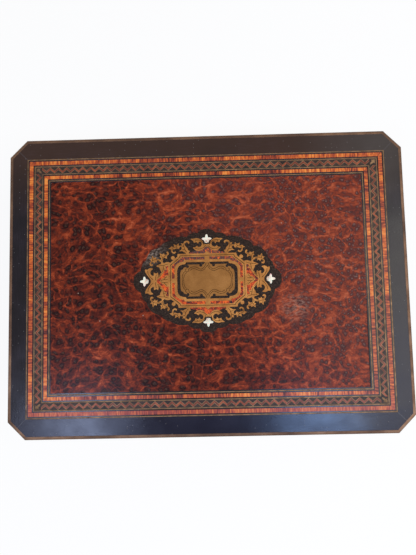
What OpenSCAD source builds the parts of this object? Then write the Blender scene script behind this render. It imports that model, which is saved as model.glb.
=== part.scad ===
// Inlaid casket: a veneered wooden box with canted corners, a hinged lid with a
// brass, tortoiseshell and pearl medallion, a lined interior and a two-staple box lock.
// Millimetres. Origin under the middle of the box on the surface that it stands on,
// X to the right, Y to the back where the hinges are, Z up.

/* [Box] */
// Width over the brass edge of the lid
box_w = 333; // [300:1:400]
// Depth over the brass edge of the lid
box_d = 251; // [220:1:320]
// Height from the table to the top of the lid
box_h = 125; // [110:1:180]
// Height of the lid, from the seam to the top
lid_h = 33; // [30:1:42]
// Leg of the canted corners
cant = 14.5; // [12:0.5:17]
// Open gap of the seam between case and lid
seam_gap = 0.2; // [0.1:0.05:0.4]

/* [Carcase] */
// Thickness of the wall boards
wall_board = 9; // [8.8:0.1:11]
// Thickness of the lid's top board
top_board = 9; // [7:0.5:11]
// Thickness of the bottom board
bottom_board = 8; // [6:0.5:10]
// Lift of the bottom board off the table
bottom_lift = 1; // [0.5:0.1:3]
// Thickness of the veneers and of everything inlaid among them
veneer = 1.2; // [1:0.1:1.6]

/* [Plinth] */
// Height of the base moulding
plinth_h = 14; // [11:0.5:20]
// How far the base moulding stands out from the sides
plinth_out = 3.4; // [3.3:0.1:6]
// Radius of its rounded top edge
plinth_round = 2.6; // [1:0.1:3]

/* [Lid bands] */
// Width of the brass edge bead
bead_w = 2.8; // [2:0.1:3.4]
// Height of the brass edge bead
bead_h = 3; // [2.4:0.1:4]
// Radius of the bead's outer edge
bead_round = 1.2; // [0.6:0.1:1.5]
// Width of the ebonised border on the left and right
border_x = 12.3; // [9:0.1:15]
// Width of the ebonised border at the front and back
border_y = 14.1; // [9:0.1:16]
// Width of the brass strings
string_w = 0.9; // [0.7:0.1:1.5]
// Width of the thin ebony fillets
fillet_w = 1; // [0.5:0.1:1.4]
// Width of the outer crossband
outer_cross_w = 3.2; // [2.5:0.1:5]
// Width of the inner crossband
inner_cross_w = 2.9; // [2:0.1:5]

/* [Zigzag band] */
// Width of the zigzag band
zigzag_w = 5.7; // [5:0.1:7.5]
// Width of the red-brown zigzag stripe
zigzag_stripe_w = 1; // [0.8:0.05:1.3]
// Width of the brass line on each side of the stripe
zigzag_line_w = 0.45; // [0.25:0.05:0.5]
// Wanted pitch of the zigzag along the front and back
zigzag_pitch_x = 6.9; // [6:0.1:9]
// Wanted pitch of the zigzag along the left and right
zigzag_pitch_y = 6.5; // [6:0.1:9]

/* [Medallion] */
// Width of the medallion over its side lobes
medallion_w = 123.2; // [100:0.1:130]
// Shift of the medallion's centre towards the back
medallion_shift = 2; // [-3:0.1:3]
// Width of the engraved lines
engrave_w = 0.4; // [0.2:0.05:0.5]
// Depth of the engraved lines
engrave_d = 0.2; // [0.1:0.05:0.4]

/* [Sides] */
// Width of the ebonised border round each side panel
side_border_w = 5; // [4:0.1:6]
// Width of the crossband round each case panel
side_cross_w = 3.6; // [2.5:0.1:5]

/* [Lining] */
// Thickness of the wall lining
wall_lining_t = 2; // [1.5:0.1:3]
// Drop of the wall lining's edge from the seam
lining_drop = 1.5; // [1:0.1:3]
// Thickness of the padded floor
floor_pad_t = 6; // [4:0.5:9]
// Thickness of the padded lid panel
lid_pad_t = 5; // [4:0.5:6]
// Gap round the pads
pad_gap = 0.3; // [0.2:0.1:0.6]

/* [Hinges] */
// Length of each hinge
hinge_l = 45; // [36:1:60]
// Distance from the box's middle to each hinge's middle
hinge_x = 95; // [70:1:100]
// Depth of each leaf, from the axis
hinge_leaf_d = 8; // [7.5:0.1:9]
// Thickness of each leaf
hinge_leaf_t = 1.5; // [1.3:0.1:1.8]
// Diameter of the knuckles
knuckle_d = 5; // [4.6:0.1:5.6]
// Diameter of the hinge pin
hinge_pin_d = 2.4; // [2:0.1:2.8]
// Radial running clearance of pin and bolt
run_fit = 0.05; // [0.03:0.01:0.1]
// End play between the knuckles
knuckle_play = 0.1; // [0.05:0.05:0.3]
// Clearance of the knuckles in their recess
knuckle_fit = 0.3; // [0.2:0.05:0.4]

/* [Lock] */
// Width of the lock's box
lock_w = 60; // [58:1:66]
// Reach of the lock below the key's axis
lock_below_key = 14; // [12.5:0.5:18]
// Depth of the lock, from the inner face of the front board
lock_t = 7.5; // [7.2:0.1:7.8]
// Thickness of the lock's plates
lock_plate_t = 1; // [0.8:0.1:1.2]
// Thickness of the top plate and of the link plate
strike_t = 1.5; // [1.3:0.1:1.8]
// Width of the top plate and of the link plate
strike_w = 74; // [73:1:80]
// Distance from the lock's middle to each staple
staple_x = 13; // [12.5:0.1:14]
// Thickness of each staple
staple_t = 2; // [1.6:0.1:2.4]
// Reach of each staple below the link plate
staple_h = 8.6; // [8.2:0.1:9]
// Width of each staple's eye
eye_w = 2.2; // [2:0.1:2.4]
// Height of each staple's eye
eye_h = 3.2; // [3:0.1:3.4]
// Wall round each staple's eye
eye_wall = 1.2; // [1:0.05:1.3]
// Clearance of the staples in their slots
staple_fit = 0.45; // [0.4:0.05:0.6]
// Clearance of the bolt in each staple's eye
bolt_fit = 0.2; // [0.15:0.05:0.3]
// Throw of the bolt
bolt_throw = 5; // [4:0.1:5]
// Diameter of the keyhole's round part
keyhole_d = 4.5; // [4:0.1:5]
// Distance of the escutcheon from the top edge of the front's burr panel
escutcheon_drop = 2; // [1:0.5:4]

/* [Screws] */
// Diameter of the screw heads
screw_head_d = 4.4; // [4:0.1:4.8]
// Diameter of the screw shanks
screw_d = 2.4; // [2:0.1:2.6]
// Length of the screws
screw_l = 10; // [8:0.5:12]
// Width of the slot in the screw heads
screw_slot_w = 0.6; // [0.4:0.1:0.8]
// Depth of the slot in the screw heads
screw_slot_d = 0.5; // [0.3:0.1:0.8]
// Radial clearance of the screws in their holes
screw_fit = 0.05; // [0.03:0.01:0.1]

/* [Hidden] */
$fn = 48;

cut_over = 1;                                    // how far a cut runs past the face that it opens
touch = 0.01;                                    // overlap that joins two solids in one piece

// Outline of the finished box and of the bare carcase under the veneer
hw = box_w / 2;
hd = box_d / 2;
cant_shrink = 2 - sqrt(2);                       // how much a cant's leg loses per unit of inset
carcase_hw = hw - veneer;
carcase_hd = hd - veneer;
carcase_cant = cant - veneer * cant_shrink;
inner_hw = carcase_hw - wall_board;
inner_hd = carcase_hd - wall_board;

// Heights
seam_z = box_h - lid_h;
case_top = seam_z - seam_gap / 2;
lid_bottom = seam_z + seam_gap / 2;
floor_z = bottom_lift + bottom_board;
ceiling_z = box_h - veneer - top_board;
top_z = box_h - veneer;                          // underside of the lid's marquetry

// Insets of the lid's bands from the outer brass string inwards
string_hx = hw - bead_w - border_x;
string_hy = hd - bead_w - border_y;
in_fillet_1 = string_w;
in_outer_cross = in_fillet_1 + fillet_w;
in_fillet_2 = in_outer_cross + outer_cross_w;
in_string_2 = in_fillet_2 + fillet_w;
in_zigzag = in_string_2 + string_w;
in_string_3 = in_zigzag + zigzag_w;
in_fillet_3 = in_string_3 + string_w;
in_inner_cross = in_fillet_3 + fillet_w;
in_fillet_4 = in_inner_cross + inner_cross_w;
in_string_4 = in_fillet_4 + fillet_w;
in_fillet_5 = in_string_4 + string_w;
in_burl = in_fillet_5 + fillet_w;
burl_hx = string_hx - in_burl;
burl_hy = string_hy - in_burl;

// Zigzag: the stripe and its two lines climb by zigzag_rise in half a pitch
zigzag_hx = string_hx - in_zigzag;
zigzag_hy = string_hy - in_zigzag;
zigzag_steep = 1.4;                              // vertical over square width of a sloping stripe
line_v = zigzag_line_w * zigzag_steep;
stripe_v = zigzag_stripe_w * zigzag_steep;
zigzag_rise = zigzag_w - stripe_v - 2 * line_v;
triangle_gap = 0.05;                             // keeps neighbouring ebony triangles from sharing an edge

// Hinge
knuckle_r = knuckle_d / 2;
knuckle_pitch = hinge_l / 5;
hinge_screw_edge = 0.3;                          // leaf left between a screw's head and its inner edge
hinge_screw_y = hd - hinge_leaf_d + screw_head_d / 2 + hinge_screw_edge;
hinge_screw_dx = hinge_l / 2 - screw_head_d;

// Lock, measured from the front board's inner face outwards
lock_y = -inner_hd;
cavity_t = lock_t - 2 * lock_plate_t;
bolt_y = lock_y - lock_t / 2;
bolt_t = eye_w - 2 * bolt_fit;
bolt_h = eye_h - 2 * bolt_fit;
staple_w = eye_w + 2 * eye_wall;
eye_z = lid_bottom - staple_h + eye_wall + eye_h / 2;
prong_over = 0.6;                                // how much longer a prong is than the bolt's throw
prong_l = bolt_throw + prong_over;
post_w = 3;                                      // width of the posts that carry the bolt's prongs
stud_d = 3;
stud_x = [-12, 17];
escutcheon_half = [[0, -9.5], [3.4, -8.4], [4.6, -5.2], [6.2, -3.2], [5.6, 0.4], [6.6, 3.2], [4.4, 4.6],
    [3.2, 6.8], [0, 8.2]];                       // right half, round the key's axis
escutcheon_top = escutcheon_half[len(escutcheon_half) - 1][1];
in_side_cross = side_border_w + string_w;        // insets of the bands round the side panels
in_side_string_2 = in_side_cross + side_cross_w;
in_side_burl = in_side_string_2 + string_w;
key_z = case_top - in_side_burl - escutcheon_drop - escutcheon_top;
lock_bottom = key_z - lock_below_key;
bolt_x0 = -staple_x - staple_t / 2 - bolt_fit * 2 - prong_l - post_w;
bolt_edge = 2;                                   // metal past the last stud
bolt_x1 = stud_x[1] + stud_d / 2 + bolt_edge;
staple_gap = 1.2;                                // between the staples' ends and the bolt's plate
bolt_top = lid_bottom - staple_h - staple_gap;
bolt_below_key = 4;
bolt_bridge = 2;                                 // metal left over the key's notch
bolt_bottom = key_z - bolt_below_key;
key_notch = [-7, 5];                             // room for the key's bit in the bolt
strike_over = 0.5;                               // how far the top plate covers the wood behind the lock
strike_d = lock_t + strike_over;
strike_screw_x = (lock_w + strike_w) / 4;
key_slot_w = 2;
key_slot_h = 7;

// ---------- helpers ----------

function rev(p) = [for (i = [len(p) - 1 : -1 : 0]) p[i]];

// A quarter outline, from the X axis round to the Y axis, mirrored into a whole one
function four(p) = concat(p, [for (q = rev(p)) [-q[0], q[1]]], [for (q = p) -q],
    [for (q = rev(p)) [q[0], -q[1]]]);

// A half outline that starts and ends on the X (or Y) axis, closed by its own mirror image
function closed_over_x(p) = concat(p, [for (i = [len(p) - 2 : -1 : 1]) [p[i][0], -p[i][1]]]);
function closed_over_y(p) = concat(p, [for (i = [len(p) - 2 : -1 : 1]) [-p[i][0], p[i][1]]]);

// Canted rectangle
function canted(a, b, c) = four([[a, b - c], [a - c, b]]);

// Plan of one of four mitred sides of a canted frame; the side lies along X at -b
function side_plan(a, b, c, ta, tb) = let (m = (ta + tb - c) / 2)
    [[-(a - ta), -(b - tb)], [-(a - ta + m), -(b - tb + m)], [-(a - c), -b],
     [a - c, -b], [a - ta + m, -(b - tb + m)], [a - ta, -(b - tb)]];

// Points on the arc from p to q that bulges to the right by s, without q
function bulge(p, q, s, n = 7) = let (d = q - p, l = norm(d), r = (l * l / 4 + s * s) / (2 * s),
    c = (p + q) / 2 + [-d[1], d[0]] / l * (r - s), h = 2 * asin(l / 2 / r),
    a = atan2(p[1] - c[1], p[0] - c[0]))
    [for (i = [0 : n - 1]) c + r * [cos(a + h * i / n), sin(a + h * i / n)]];

// Closed smooth curve through points
function spline_at(a, b, c, d, t) = 0.5 * (2 * b + (c - a) * t + (2 * a - 5 * b + 4 * c - d) * t * t
    + (3 * b - a - 3 * c + d) * t * t * t);
function smooth(p, n = 2) = let (m = len(p)) [for (i = [0 : m - 1], k = [0 : n - 1])
    spline_at(p[(i + m - 1) % m], p[i], p[(i + 1) % m], p[(i + 2) % m], k / n)];

// Open smooth curve through points
function smooth_open(p, n = 3) = let (m = len(p)) concat([for (i = [0 : m - 2], k = [0 : n - 1])
    spline_at(p[max(i - 1, 0)], p[i], p[i + 1], p[min(i + 2, m - 1)], k / n)], [p[m - 1]]);

// Outline of a line of width w along a path
function path_normal(p, i) = let (a = p[max(i - 1, 0)], b = p[min(i + 1, len(p) - 1)], d = b - a)
    [-d[1], d[0]] / norm(d);
function stroke(p, w) = concat([for (i = [0 : len(p) - 1]) p[i] + path_normal(p, i) * w / 2],
    [for (i = [len(p) - 1 : -1 : 0]) p[i] - path_normal(p, i) * w / 2]);

function round_dot(c, r, n = 14) = [for (i = [0 : n - 1]) c + r * [cos(360 * i / n), sin(360 * i / n)]];

// Repeats its children on the four sides; $a is half the side's length, $b its distance
module around(hx, hy) {
    for (i = [0 : 3]) {
        $along_x = i % 2 == 0;
        $a = $along_x ? hx : hy;
        $b = $along_x ? hy : hx;
        rotate([0, 0, 90 * i]) children();
    }
}

// Four mitred strips of width w, the outer edges at +-hx and +-hy
module mitred_frame(hx, hy, w) {
    around(hx, hy) linear_extrude(veneer)
        polygon([[-$a, -$b], [$a, -$b], [$a - w, -$b + w], [-$a + w, -$b + w]]);
}

module both_x() { children(); mirror([1, 0, 0]) children(); }
module quarters() { both_x() { children(); mirror([0, 1, 0]) children(); } }

// Ring of width w and height h round a canted rectangle; its outer top edge is rounded by radius r
// in flats, and each of its eight sides loses what lies outside them
module canted_moulding(a, b, c, w, h, r) {
    outer = canted(a, b, c);
    run_over = r + cut_over;                     // how far a cut runs past the ends of its side
    difference() {
        linear_extrude(h) difference() {
            polygon(outer);
            polygon(canted(a - w, b - w, c - w * cant_shrink));
        }
        for (i = [0 : 7]) {
            d = outer[(i + 1) % 8] - outer[i];
            translate([outer[i][0], outer[i][1], 0]) rotate([0, 0, atan2(d[1], d[0])])
                translate([-run_over, 0, 0]) rotate([90, 0, 90])
                    linear_extrude(norm(d) + 2 * run_over) edge_waste(h, r);
        }
    }
}

// What the rounding takes off a square edge; X is the inset from the side and Y the height.
// Its first and last flats run on past the edge by their own length.
module edge_waste(h, r) {
    flats = 7;
    corner = [for (i = [0 : flats]) let (a = 90 * i / flats) [r - r * cos(a), h - r + r * sin(a)]];
    low_end = 2 * corner[0] - corner[1];
    high_end = 2 * corner[flats] - corner[flats - 1];
    inner = [for (i = [1 : flats - 1]) corner[i]];
    polygon(concat([low_end], inner, [high_end, [low_end[0], high_end[1]]]));
}

// Countersunk screw, head up at z = 0; grow widens it for the hole that it sits in
module screw_body(grow) {
    head_h = (screw_head_d - screw_d) / 2;
    translate([0, 0, -head_h]) cylinder(h = head_h, r1 = screw_d / 2 + grow, r2 = screw_head_d / 2 + grow);
    translate([0, 0, -screw_l - grow]) cylinder(h = screw_l - head_h + grow + touch, r = screw_d / 2 + grow);
}

module screw() {
    difference() {
        screw_body(0);
        translate([-screw_head_d, -screw_slot_w / 2, -screw_slot_d])
            cube([2 * screw_head_d, screw_slot_w, screw_slot_d + cut_over]);
    }
}

// ---------- carcase ----------

module wall_plan(a, b) { polygon(side_plan(a, b, carcase_cant, wall_board, wall_board)); }

// One wall, turned to its side: 0 front, 1 right, 2 back, 3 left
module wall(i, z0, z1) {
    along_x = i % 2 == 0;
    a = along_x ? carcase_hw : carcase_hd;
    b = along_x ? carcase_hd : carcase_hw;
    translate([0, 0, z0]) rotate([0, 0, 90 * i]) linear_extrude(z1 - z0) wall_plan(a, b);
}

module bottom_board() {
    color("peru") translate([0, 0, bottom_lift]) linear_extrude(bottom_board)
        polygon(canted(carcase_hw, carcase_hd, carcase_cant));
}

module case_front_board() {
    color("peru") difference() {
        wall(0, floor_z, case_top);
        lock_recess();
        strike_recess(-1);
        keyhole_cut();
        at_strike_screws() translate([0, 0, case_top]) screw_body(screw_fit);
    }
}

module case_back_board() {
    color("peru") difference() {
        wall(2, floor_z, case_top);
        hinge_recess(-1);
        at_hinge_screws() translate([0, 0, case_top]) screw_body(screw_fit);
    }
}

module case_left_board() { color("peru") wall(3, floor_z, case_top); }
module case_right_board() { color("peru") wall(1, floor_z, case_top); }

module plinth() {
    out = plinth_out + veneer;
    color([0.16, 0.14, 0.14]) canted_moulding(hw + plinth_out, hd + plinth_out,
        cant + plinth_out * cant_shrink, out, plinth_h, plinth_round);
}

module lid_top_board() {
    step = bead_w - veneer;                      // the bead's rebate, inside the carcase's face
    color("peru") {
        difference() {
            translate([0, 0, ceiling_z]) linear_extrude(top_board)
                polygon(canted(carcase_hw, carcase_hd, carcase_cant));
            translate([0, 0, box_h - bead_h]) linear_extrude(bead_h) difference() {
                polygon(canted(hw + cut_over, hd + cut_over, cant + cut_over * cant_shrink));
                polygon(canted(carcase_hw - step, carcase_hd - step, carcase_cant - step * cant_shrink));
            }
        }
    }
}

module lid_front_board() {
    color("peru") difference() {
        wall(0, lid_bottom, ceiling_z);
        strike_recess(1);
        at_strike_screws() translate([0, 0, lid_bottom]) mirror([0, 0, 1]) screw_body(screw_fit);
    }
}

module lid_back_board() {
    color("peru") difference() {
        wall(2, lid_bottom, ceiling_z);
        hinge_recess(1);
        at_hinge_screws() translate([0, 0, lid_bottom]) mirror([0, 0, 1]) screw_body(screw_fit);
    }
}

module lid_left_board() { color("peru") wall(3, lid_bottom, ceiling_z); }
module lid_right_board() { color("peru") wall(1, lid_bottom, ceiling_z); }

// ---------- side veneers ----------

// A rectangular frame of width w standing on the side at -$b, its outer edges inset by e
module upright_frame(z0, z1, e, w) {
    half = $a - cant - e;
    translate([0, -$b + veneer, 0]) rotate([90, 0, 0]) linear_extrude(veneer) difference() {
        translate([-half, z0 + e]) square([2 * half, z1 - z0 - 2 * e]);
        translate([-half + w, z0 + e + w]) square([2 * (half - w), z1 - z0 - 2 * (e + w)]);
    }
}

module upright_panel(z0, z1, e) {
    half = $a - cant - e;
    translate([-half, -$b, z0 + e]) cube([2 * half, veneer, z1 - z0 - 2 * e]);
}

// Ebonised veneer: a frame on each side and a strip on each canted corner
module side_border(z0, z1) {
    around(hw, hd) difference() {
        outer_half = $a - cant;
        inner_half = $a - veneer - carcase_cant;
        translate([0, 0, z0]) linear_extrude(z1 - z0)
            polygon([[-outer_half, -$b], [outer_half, -$b], [inner_half, -$b + veneer],
                     [-inner_half, -$b + veneer]]);
        upright_panel(z0, z1, side_border_w);
    }
    outer = canted(hw, hd, cant);
    inner = canted(carcase_hw, carcase_hd, carcase_cant);
    for (i = [0, 2, 4, 6]) translate([0, 0, z0]) linear_extrude(z1 - z0)
        polygon([outer[i], outer[i + 1], inner[i + 1], inner[i]]);
}

case_z0 = plinth_h;
case_z1 = case_top;
lid_z0 = lid_bottom;
lid_z1 = box_h - bead_h;

module case_side_border() {
    color([0.16, 0.14, 0.14]) difference() {
        side_border(case_z0, case_z1);
        hinge_recess(-1);
    }
}

module case_side_strings() {
    color("goldenrod") around(hw, hd) {
        upright_frame(case_z0, case_z1, side_border_w, string_w);
        upright_frame(case_z0, case_z1, in_side_string_2, string_w);
    }
}

module case_side_crossband() {
    color("chocolate") around(hw, hd) upright_frame(case_z0, case_z1, in_side_cross, side_cross_w);
}

module case_side_burl() {
    color([0.43, 0.19, 0.11]) difference() {
        around(hw, hd) upright_panel(case_z0, case_z1, in_side_burl);
        translate([0, -hd + veneer, 0]) rotate([90, 0, 0]) linear_extrude(3 * veneer)
            translate([0, key_z]) polygon(closed_over_y(escutcheon_half));
    }
}

module lid_side_border() {
    color([0.16, 0.14, 0.14]) difference() {
        side_border(lid_z0, lid_z1);
        hinge_recess(1);
    }
}

module lid_side_strings() {
    color("goldenrod") around(hw, hd) upright_frame(lid_z0, lid_z1, side_border_w, string_w);
}

module lid_side_burl() {
    color([0.43, 0.19, 0.11]) around(hw, hd) upright_panel(lid_z0, lid_z1, in_side_cross);
}

// ---------- lid bands ----------

module on_lid() { translate([0, 0, top_z]) children(); }

module lid_edge_bead() {
    color("darkgoldenrod") translate([0, 0, box_h - bead_h])
        canted_moulding(hw, hd, cant, bead_w, bead_h, bead_round);
}

module lid_border() {
    c = cant - bead_w * cant_shrink;
    color([0.16, 0.14, 0.14]) on_lid() around(hw - bead_w, hd - bead_w) linear_extrude(veneer)
        polygon(side_plan($a, $b, c, $along_x ? border_x : border_y, $along_x ? border_y : border_x));
}

module band(inset, w) { on_lid() mitred_frame(string_hx - inset, string_hy - inset, w); }

module lid_strings() {
    color("goldenrod") for (e = [0, in_string_2, in_string_3, in_string_4]) band(e, string_w);
}

module lid_fillets() {
    color([0.16, 0.14, 0.14])
        for (e = [in_fillet_1, in_fillet_2, in_fillet_3, in_fillet_4, in_fillet_5]) band(e, fillet_w);
}

module lid_outer_crossband() { color("chocolate") band(in_outer_cross, outer_cross_w); }
module lid_inner_crossband() { color("chocolate") band(in_inner_cross, inner_cross_w); }

// ---------- zigzag band ----------

// Half the length of the zigzag between two corner squares, its count and its pitch
function zig_half(along_x) = (along_x ? zigzag_hx : zigzag_hy) - zigzag_w;
function zig_count(along_x) = round(2 * zig_half(along_x) / (along_x ? zigzag_pitch_x : zigzag_pitch_y));
function zig_pitch(along_x) = 2 * zig_half(along_x) / zig_count(along_x);

// Points of the wave, raised by y0
function wave(along_x, y0) = [for (i = [0 : 2 * zig_count(along_x)])
    [-zig_half(along_x) + i * zig_pitch(along_x) / 2, y0 + (i % 2) * zigzag_rise]];

module zig_sides() { on_lid() around(zigzag_hx, zigzag_hy) translate([0, -$b, 0]) children(); }

// The stretch of the wave between two heights above the lower one
module wave_strip(v0, v1) {
    linear_extrude(veneer) polygon(concat(wave($along_x, v0), rev(wave($along_x, v1))));
}

module zigzag_stripe() {
    color([0.55, 0.22, 0.17]) zig_sides() wave_strip(line_v, line_v + stripe_v);
}

module zigzag_lines() {
    color("goldenrod") zig_sides() {
        wave_strip(0, line_v);
        wave_strip(line_v + stripe_v, 2 * line_v + stripe_v);
    }
}

module zigzag_ground() {
    color([0.16, 0.14, 0.14]) {
        zig_sides() {
            n = zig_count($along_x);
            p = zig_pitch($along_x);
            half = zig_half($along_x);
            // Under each peak of the wave, and over each of its valleys
            for (i = [0 : n - 1]) linear_extrude(veneer)
                polygon([[-half + i * p + triangle_gap, 0], [-half + (i + 1) * p - triangle_gap, 0],
                         [-half + (i + 0.5) * p, zigzag_rise * (1 - 2 * triangle_gap / p)]]);
            for (i = [0 : n]) {
                x = -half + i * p;
                x0 = max(x - p / 2 + triangle_gap, -half);
                x1 = min(x + p / 2 - triangle_gap, half);
                tip = zigzag_w - zigzag_rise * (1 - 2 * triangle_gap / p);
                linear_extrude(veneer) polygon(i == 0 ? [[x, tip], [x1, zigzag_w], [x, zigzag_w]] :
                    i == n ? [[x, tip], [x, zigzag_w], [x0, zigzag_w]] :
                    [[x, tip], [x1, zigzag_w], [x0, zigzag_w]]);
            }
        }
        on_lid() linear_extrude(veneer) quarters() difference() {
            translate([zigzag_hx - zigzag_w, zigzag_hy - zigzag_w]) square(zigzag_w);
            corner_ornament_2d();
        }
    }
}

// Almond leaf with three lobes towards the outer corner, drawn for a 6 mm square
corner_leaf = [[-2.5, -2.5], [-0.6, -1.8], [0.6, -0.7], [2.3, -1.4], [1.7, 0.1], [2.6, 0.9], [1.8, 1.1],
    [2.5, 2.5], [1.1, 1.8], [0.9, 2.6], [0.1, 1.7], [-1.4, 2.3], [-0.7, 0.6], [-1.8, -0.6]];
corner_leaf_side = 6;

module corner_ornament_2d() {
    translate([zigzag_hx - zigzag_w / 2, zigzag_hy - zigzag_w / 2])
        polygon(corner_leaf * zigzag_w / corner_leaf_side);
}

module corner_ornaments() {
    color("goldenrod") on_lid() linear_extrude(veneer) quarters() corner_ornament_2d();
}

// ---------- medallion, drawn at the size of edge_points and scaled to medallion_w ----------

// Quarter of the lobed edge, from the X axis round to the Y axis: where the lobes meet, and how
// far each one bulges
edge_points = [[61.6, 0], [55.8, 8.8], [51, 17.8], [38.8, 28.2], [31.5, 33.6], [17, 36.6], [7.5, 39.8],
    [0, 43]];
edge_bulges = [1.9, 1, 2.8, 1.3, 1.5, 1.3, 1.2];
medallion_edge = [for (i = [0 : len(edge_bulges) - 1])
    each bulge(edge_points[i], edge_points[i + 1], edge_bulges[i])];
mk = medallion_w / (2 * edge_points[0][0]);
engrave_drawn = engrave_w / mk;

// Quarter outlines of the bands and the plate, from the X axis round to the Y axis
band_outer = [[32.6, 14.4], [31.2, 14.8], [24.9, 20.2], [24.5, 22.5], [2.2, 22.5], [0.1, 24.4]];
band_inner = [[29.5, 12.2], [28.2, 13.7], [21.8, 18.7], [20.9, 19.7]];
band_groove = [[31.1, 13.2], [29.8, 14.2], [23.4, 19.4], [22.7, 21.1]];
ring_inner = [[27.4, 10.4], [26.9, 12.0], [25.6, 13.8], [23.4, 15.3], [19.8, 15.9], [19.2, 17.4]];
well = [[25.2, 8.4], [24.6, 10.8], [23.0, 12.6], [20.6, 13.5], [18.3, 13.7], [17.7, 15.3]];
plate_edge = [[22.6, 6.2], [21.9, 8.6], [20.4, 9.4], [19.6, 10.8], [17.9, 11.4], [16.4, 13.3],
    [6.4, 13.3], [3.6, 13.1], [2.4, 13.8], [1.7, 15.3]];
plate_notches = [[16.5, 11.7], [5.3, 12.6]];
plate_notch_r = 1.25;
bridge_x = 2;                                    // half-widths of the brass bridges over the shell ring
bridge_y = 1.8;

// Fretted brass leaves in one quarter
hook_leaf = [[15, 23.6], [14.1, 24.7], [15.7, 25.4], [16.2, 27.2], [17.5, 28.3], [18.4, 29.9],
    [18.1, 31.3], [16.8, 32.1], [15.8, 31.8], [15.5, 30.8], [14.4, 31.4], [14.9, 32.9], [16.6, 33.5],
    [18.7, 32.8], [19.7, 31.1], [21.5, 31.5], [20.7, 29.8], [22.9, 29.2], [21.3, 28.2], [21, 27],
    [21.6, 25.8], [23.3, 24.7], [20.7, 24.8], [19.3, 23.9], [17.8, 23.2], [17.4, 21.5], [14.4, 21.5]];
star_leaf = [[22.4, 28.8], [23.5, 26.7], [25.1, 27.2], [27.4, 26.4], [28.4, 26.6], [28.7, 25.4],
    [28.2, 24.2], [27.1, 24.1], [26.6, 24.8], [25.8, 24.1], [26.4, 23.1], [27.8, 22.8], [29.4, 23.8],
    [30, 25.5], [30, 26.5], [32.1, 27.1], [30.7, 27.9], [29.6, 29.1], [28.4, 28.4], [27.3, 28.7],
    [27.7, 30.9], [25.5, 29.8], [23.6, 31.4], [23.6, 29.7]];
lower_leaf = [[37.2, 15.4], [38.7, 18.3], [38.1, 19.4], [39.7, 20.2], [38.9, 21.4], [39.5, 23.6],
    [37.5, 22.4], [35.9, 23.2], [35.4, 22], [34.2, 22.2], [33.3, 23], [33.9, 24.1], [33.1, 24.9],
    [31.9, 23.6], [32.2, 22], [33.6, 20.9], [33.3, 18.6], [35.4, 19.6], [36.9, 18.7]];
outer_leaf = [[37.6, 15.6], [40.8, 17.2], [42.2, 17], [41.7, 15.5], [43.3, 16.2], [44.2, 14.8],
    [45.1, 16.4], [46.5, 15.4], [46.8, 14.1], [45.6, 14.4], [45.3, 13.4], [46.8, 12.7], [48, 13.8],
    [47.8, 15.6], [46.7, 17.1], [48.1, 18.6], [46.3, 18.8], [45.8, 21.6], [44.2, 19.6], [42.4, 20.3],
    [42.6, 18.6], [40.6, 18.5], [38.2, 17.4]];
corner_acanthus = [[31, 13.2], [34.2, 12.5], [34.8, 11.2], [33.7, 9.5], [35.7, 9.2], [36.3, 7.8],
    [37.4, 5.9], [38.6, 8.4], [39.6, 10.1], [40, 11.6], [42.6, 12.6], [40, 14], [38.5, 14.6],
    [38, 16.6], [36.1, 15], [34, 15.9], [31, 15.4]];
cant_nub = [28.5, 19.2];
cant_nub_r = 1.6;

// Leaves that cross an axis, drawn on one side of it: the scroll pair and the calyx behind a lily,
// and the petal on the side of the outer band
scroll_half = [[0, 28.2], [2.1, 27.3], [3.5, 25.6], [6, 24.7], [8.8, 24.9], [10.5, 26.2],
    [11.7, 27.6], [9.7, 27.8], [8.2, 29.1], [7.1, 28], [5.4, 28.3], [4.2, 29.6], [4.2, 31.4],
    [5.2, 32.4], [6.6, 32.1], [7.2, 30.7], [8.6, 32.2], [10.7, 31.5], [11.2, 33.1], [13.6, 34.9],
    [10.6, 35], [8.2, 35.5], [5.4, 34.6], [3.4, 32.7], [2.5, 30.6], [0, 30.1]];
calyx_half = [[42.2, 0], [41.6, 1.6], [40.2, 2.4], [38.6, 4.3], [37.2, 6.6], [38.7, 6.9],
    [40.2, 4.7], [41.1, 3.9], [40.8, 5.5], [41.4, 7.3], [42.8, 6.5], [44.8, 7.3], [44.6, 5.2],
    [45.7, 4.6], [47.3, 6], [47.5, 7.8], [46.6, 9.4], [45.2, 10.5], [48, 11.1], [50, 9.8], [51.8, 10.1],
    [52, 8.2], [50.5, 5.6], [48.7, 3.2], [47.5, 1.6], [47.2, 0]];
side_petal_half = [[31.5, 0], [31.5, 1.6], [32.6, 2.2], [32.3, 3.9], [33.6, 4.9], [35.2, 4.2],
    [35.7, 2.9], [37.4, 2.7], [38.6, 1.4], [40, 0]];

// Tortoiseshell fields outside the outer band; the leaves cut into their edges
shell_top_half = [[0, 29], [2, 28], [4, 26.4], [6.4, 25.4], [9, 25.2], [12, 23.9], [15.4, 23.1],
    [15.4, 21.5], [0, 21.5]];
shell_side_half = [[42.8, 0], [41.8, 1.8], [40.2, 3.2], [38.7, 5.4], [37.6, 7.2], [36.4, 9.4],
    [35.2, 11.4], [33.8, 13.2], [31, 13.6], [31, 0]];

// Pearl lily, its long petal along +X
lily_half = [[-3.3, 0], [-3.1, 1.1], [-2.5, 1.8], [-1.5, 2], [-0.9, 2.6], [-0.5, 3.6], [0.1, 4.2],
    [0.8, 3.7], [1.2, 2.6], [1.2, 1.5], [2, 1.1], [3.1, 0.9], [3.7, 0.5], [3.9, 0]];
lily_x = 52.4;
lily_y = 34.6;

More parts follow.
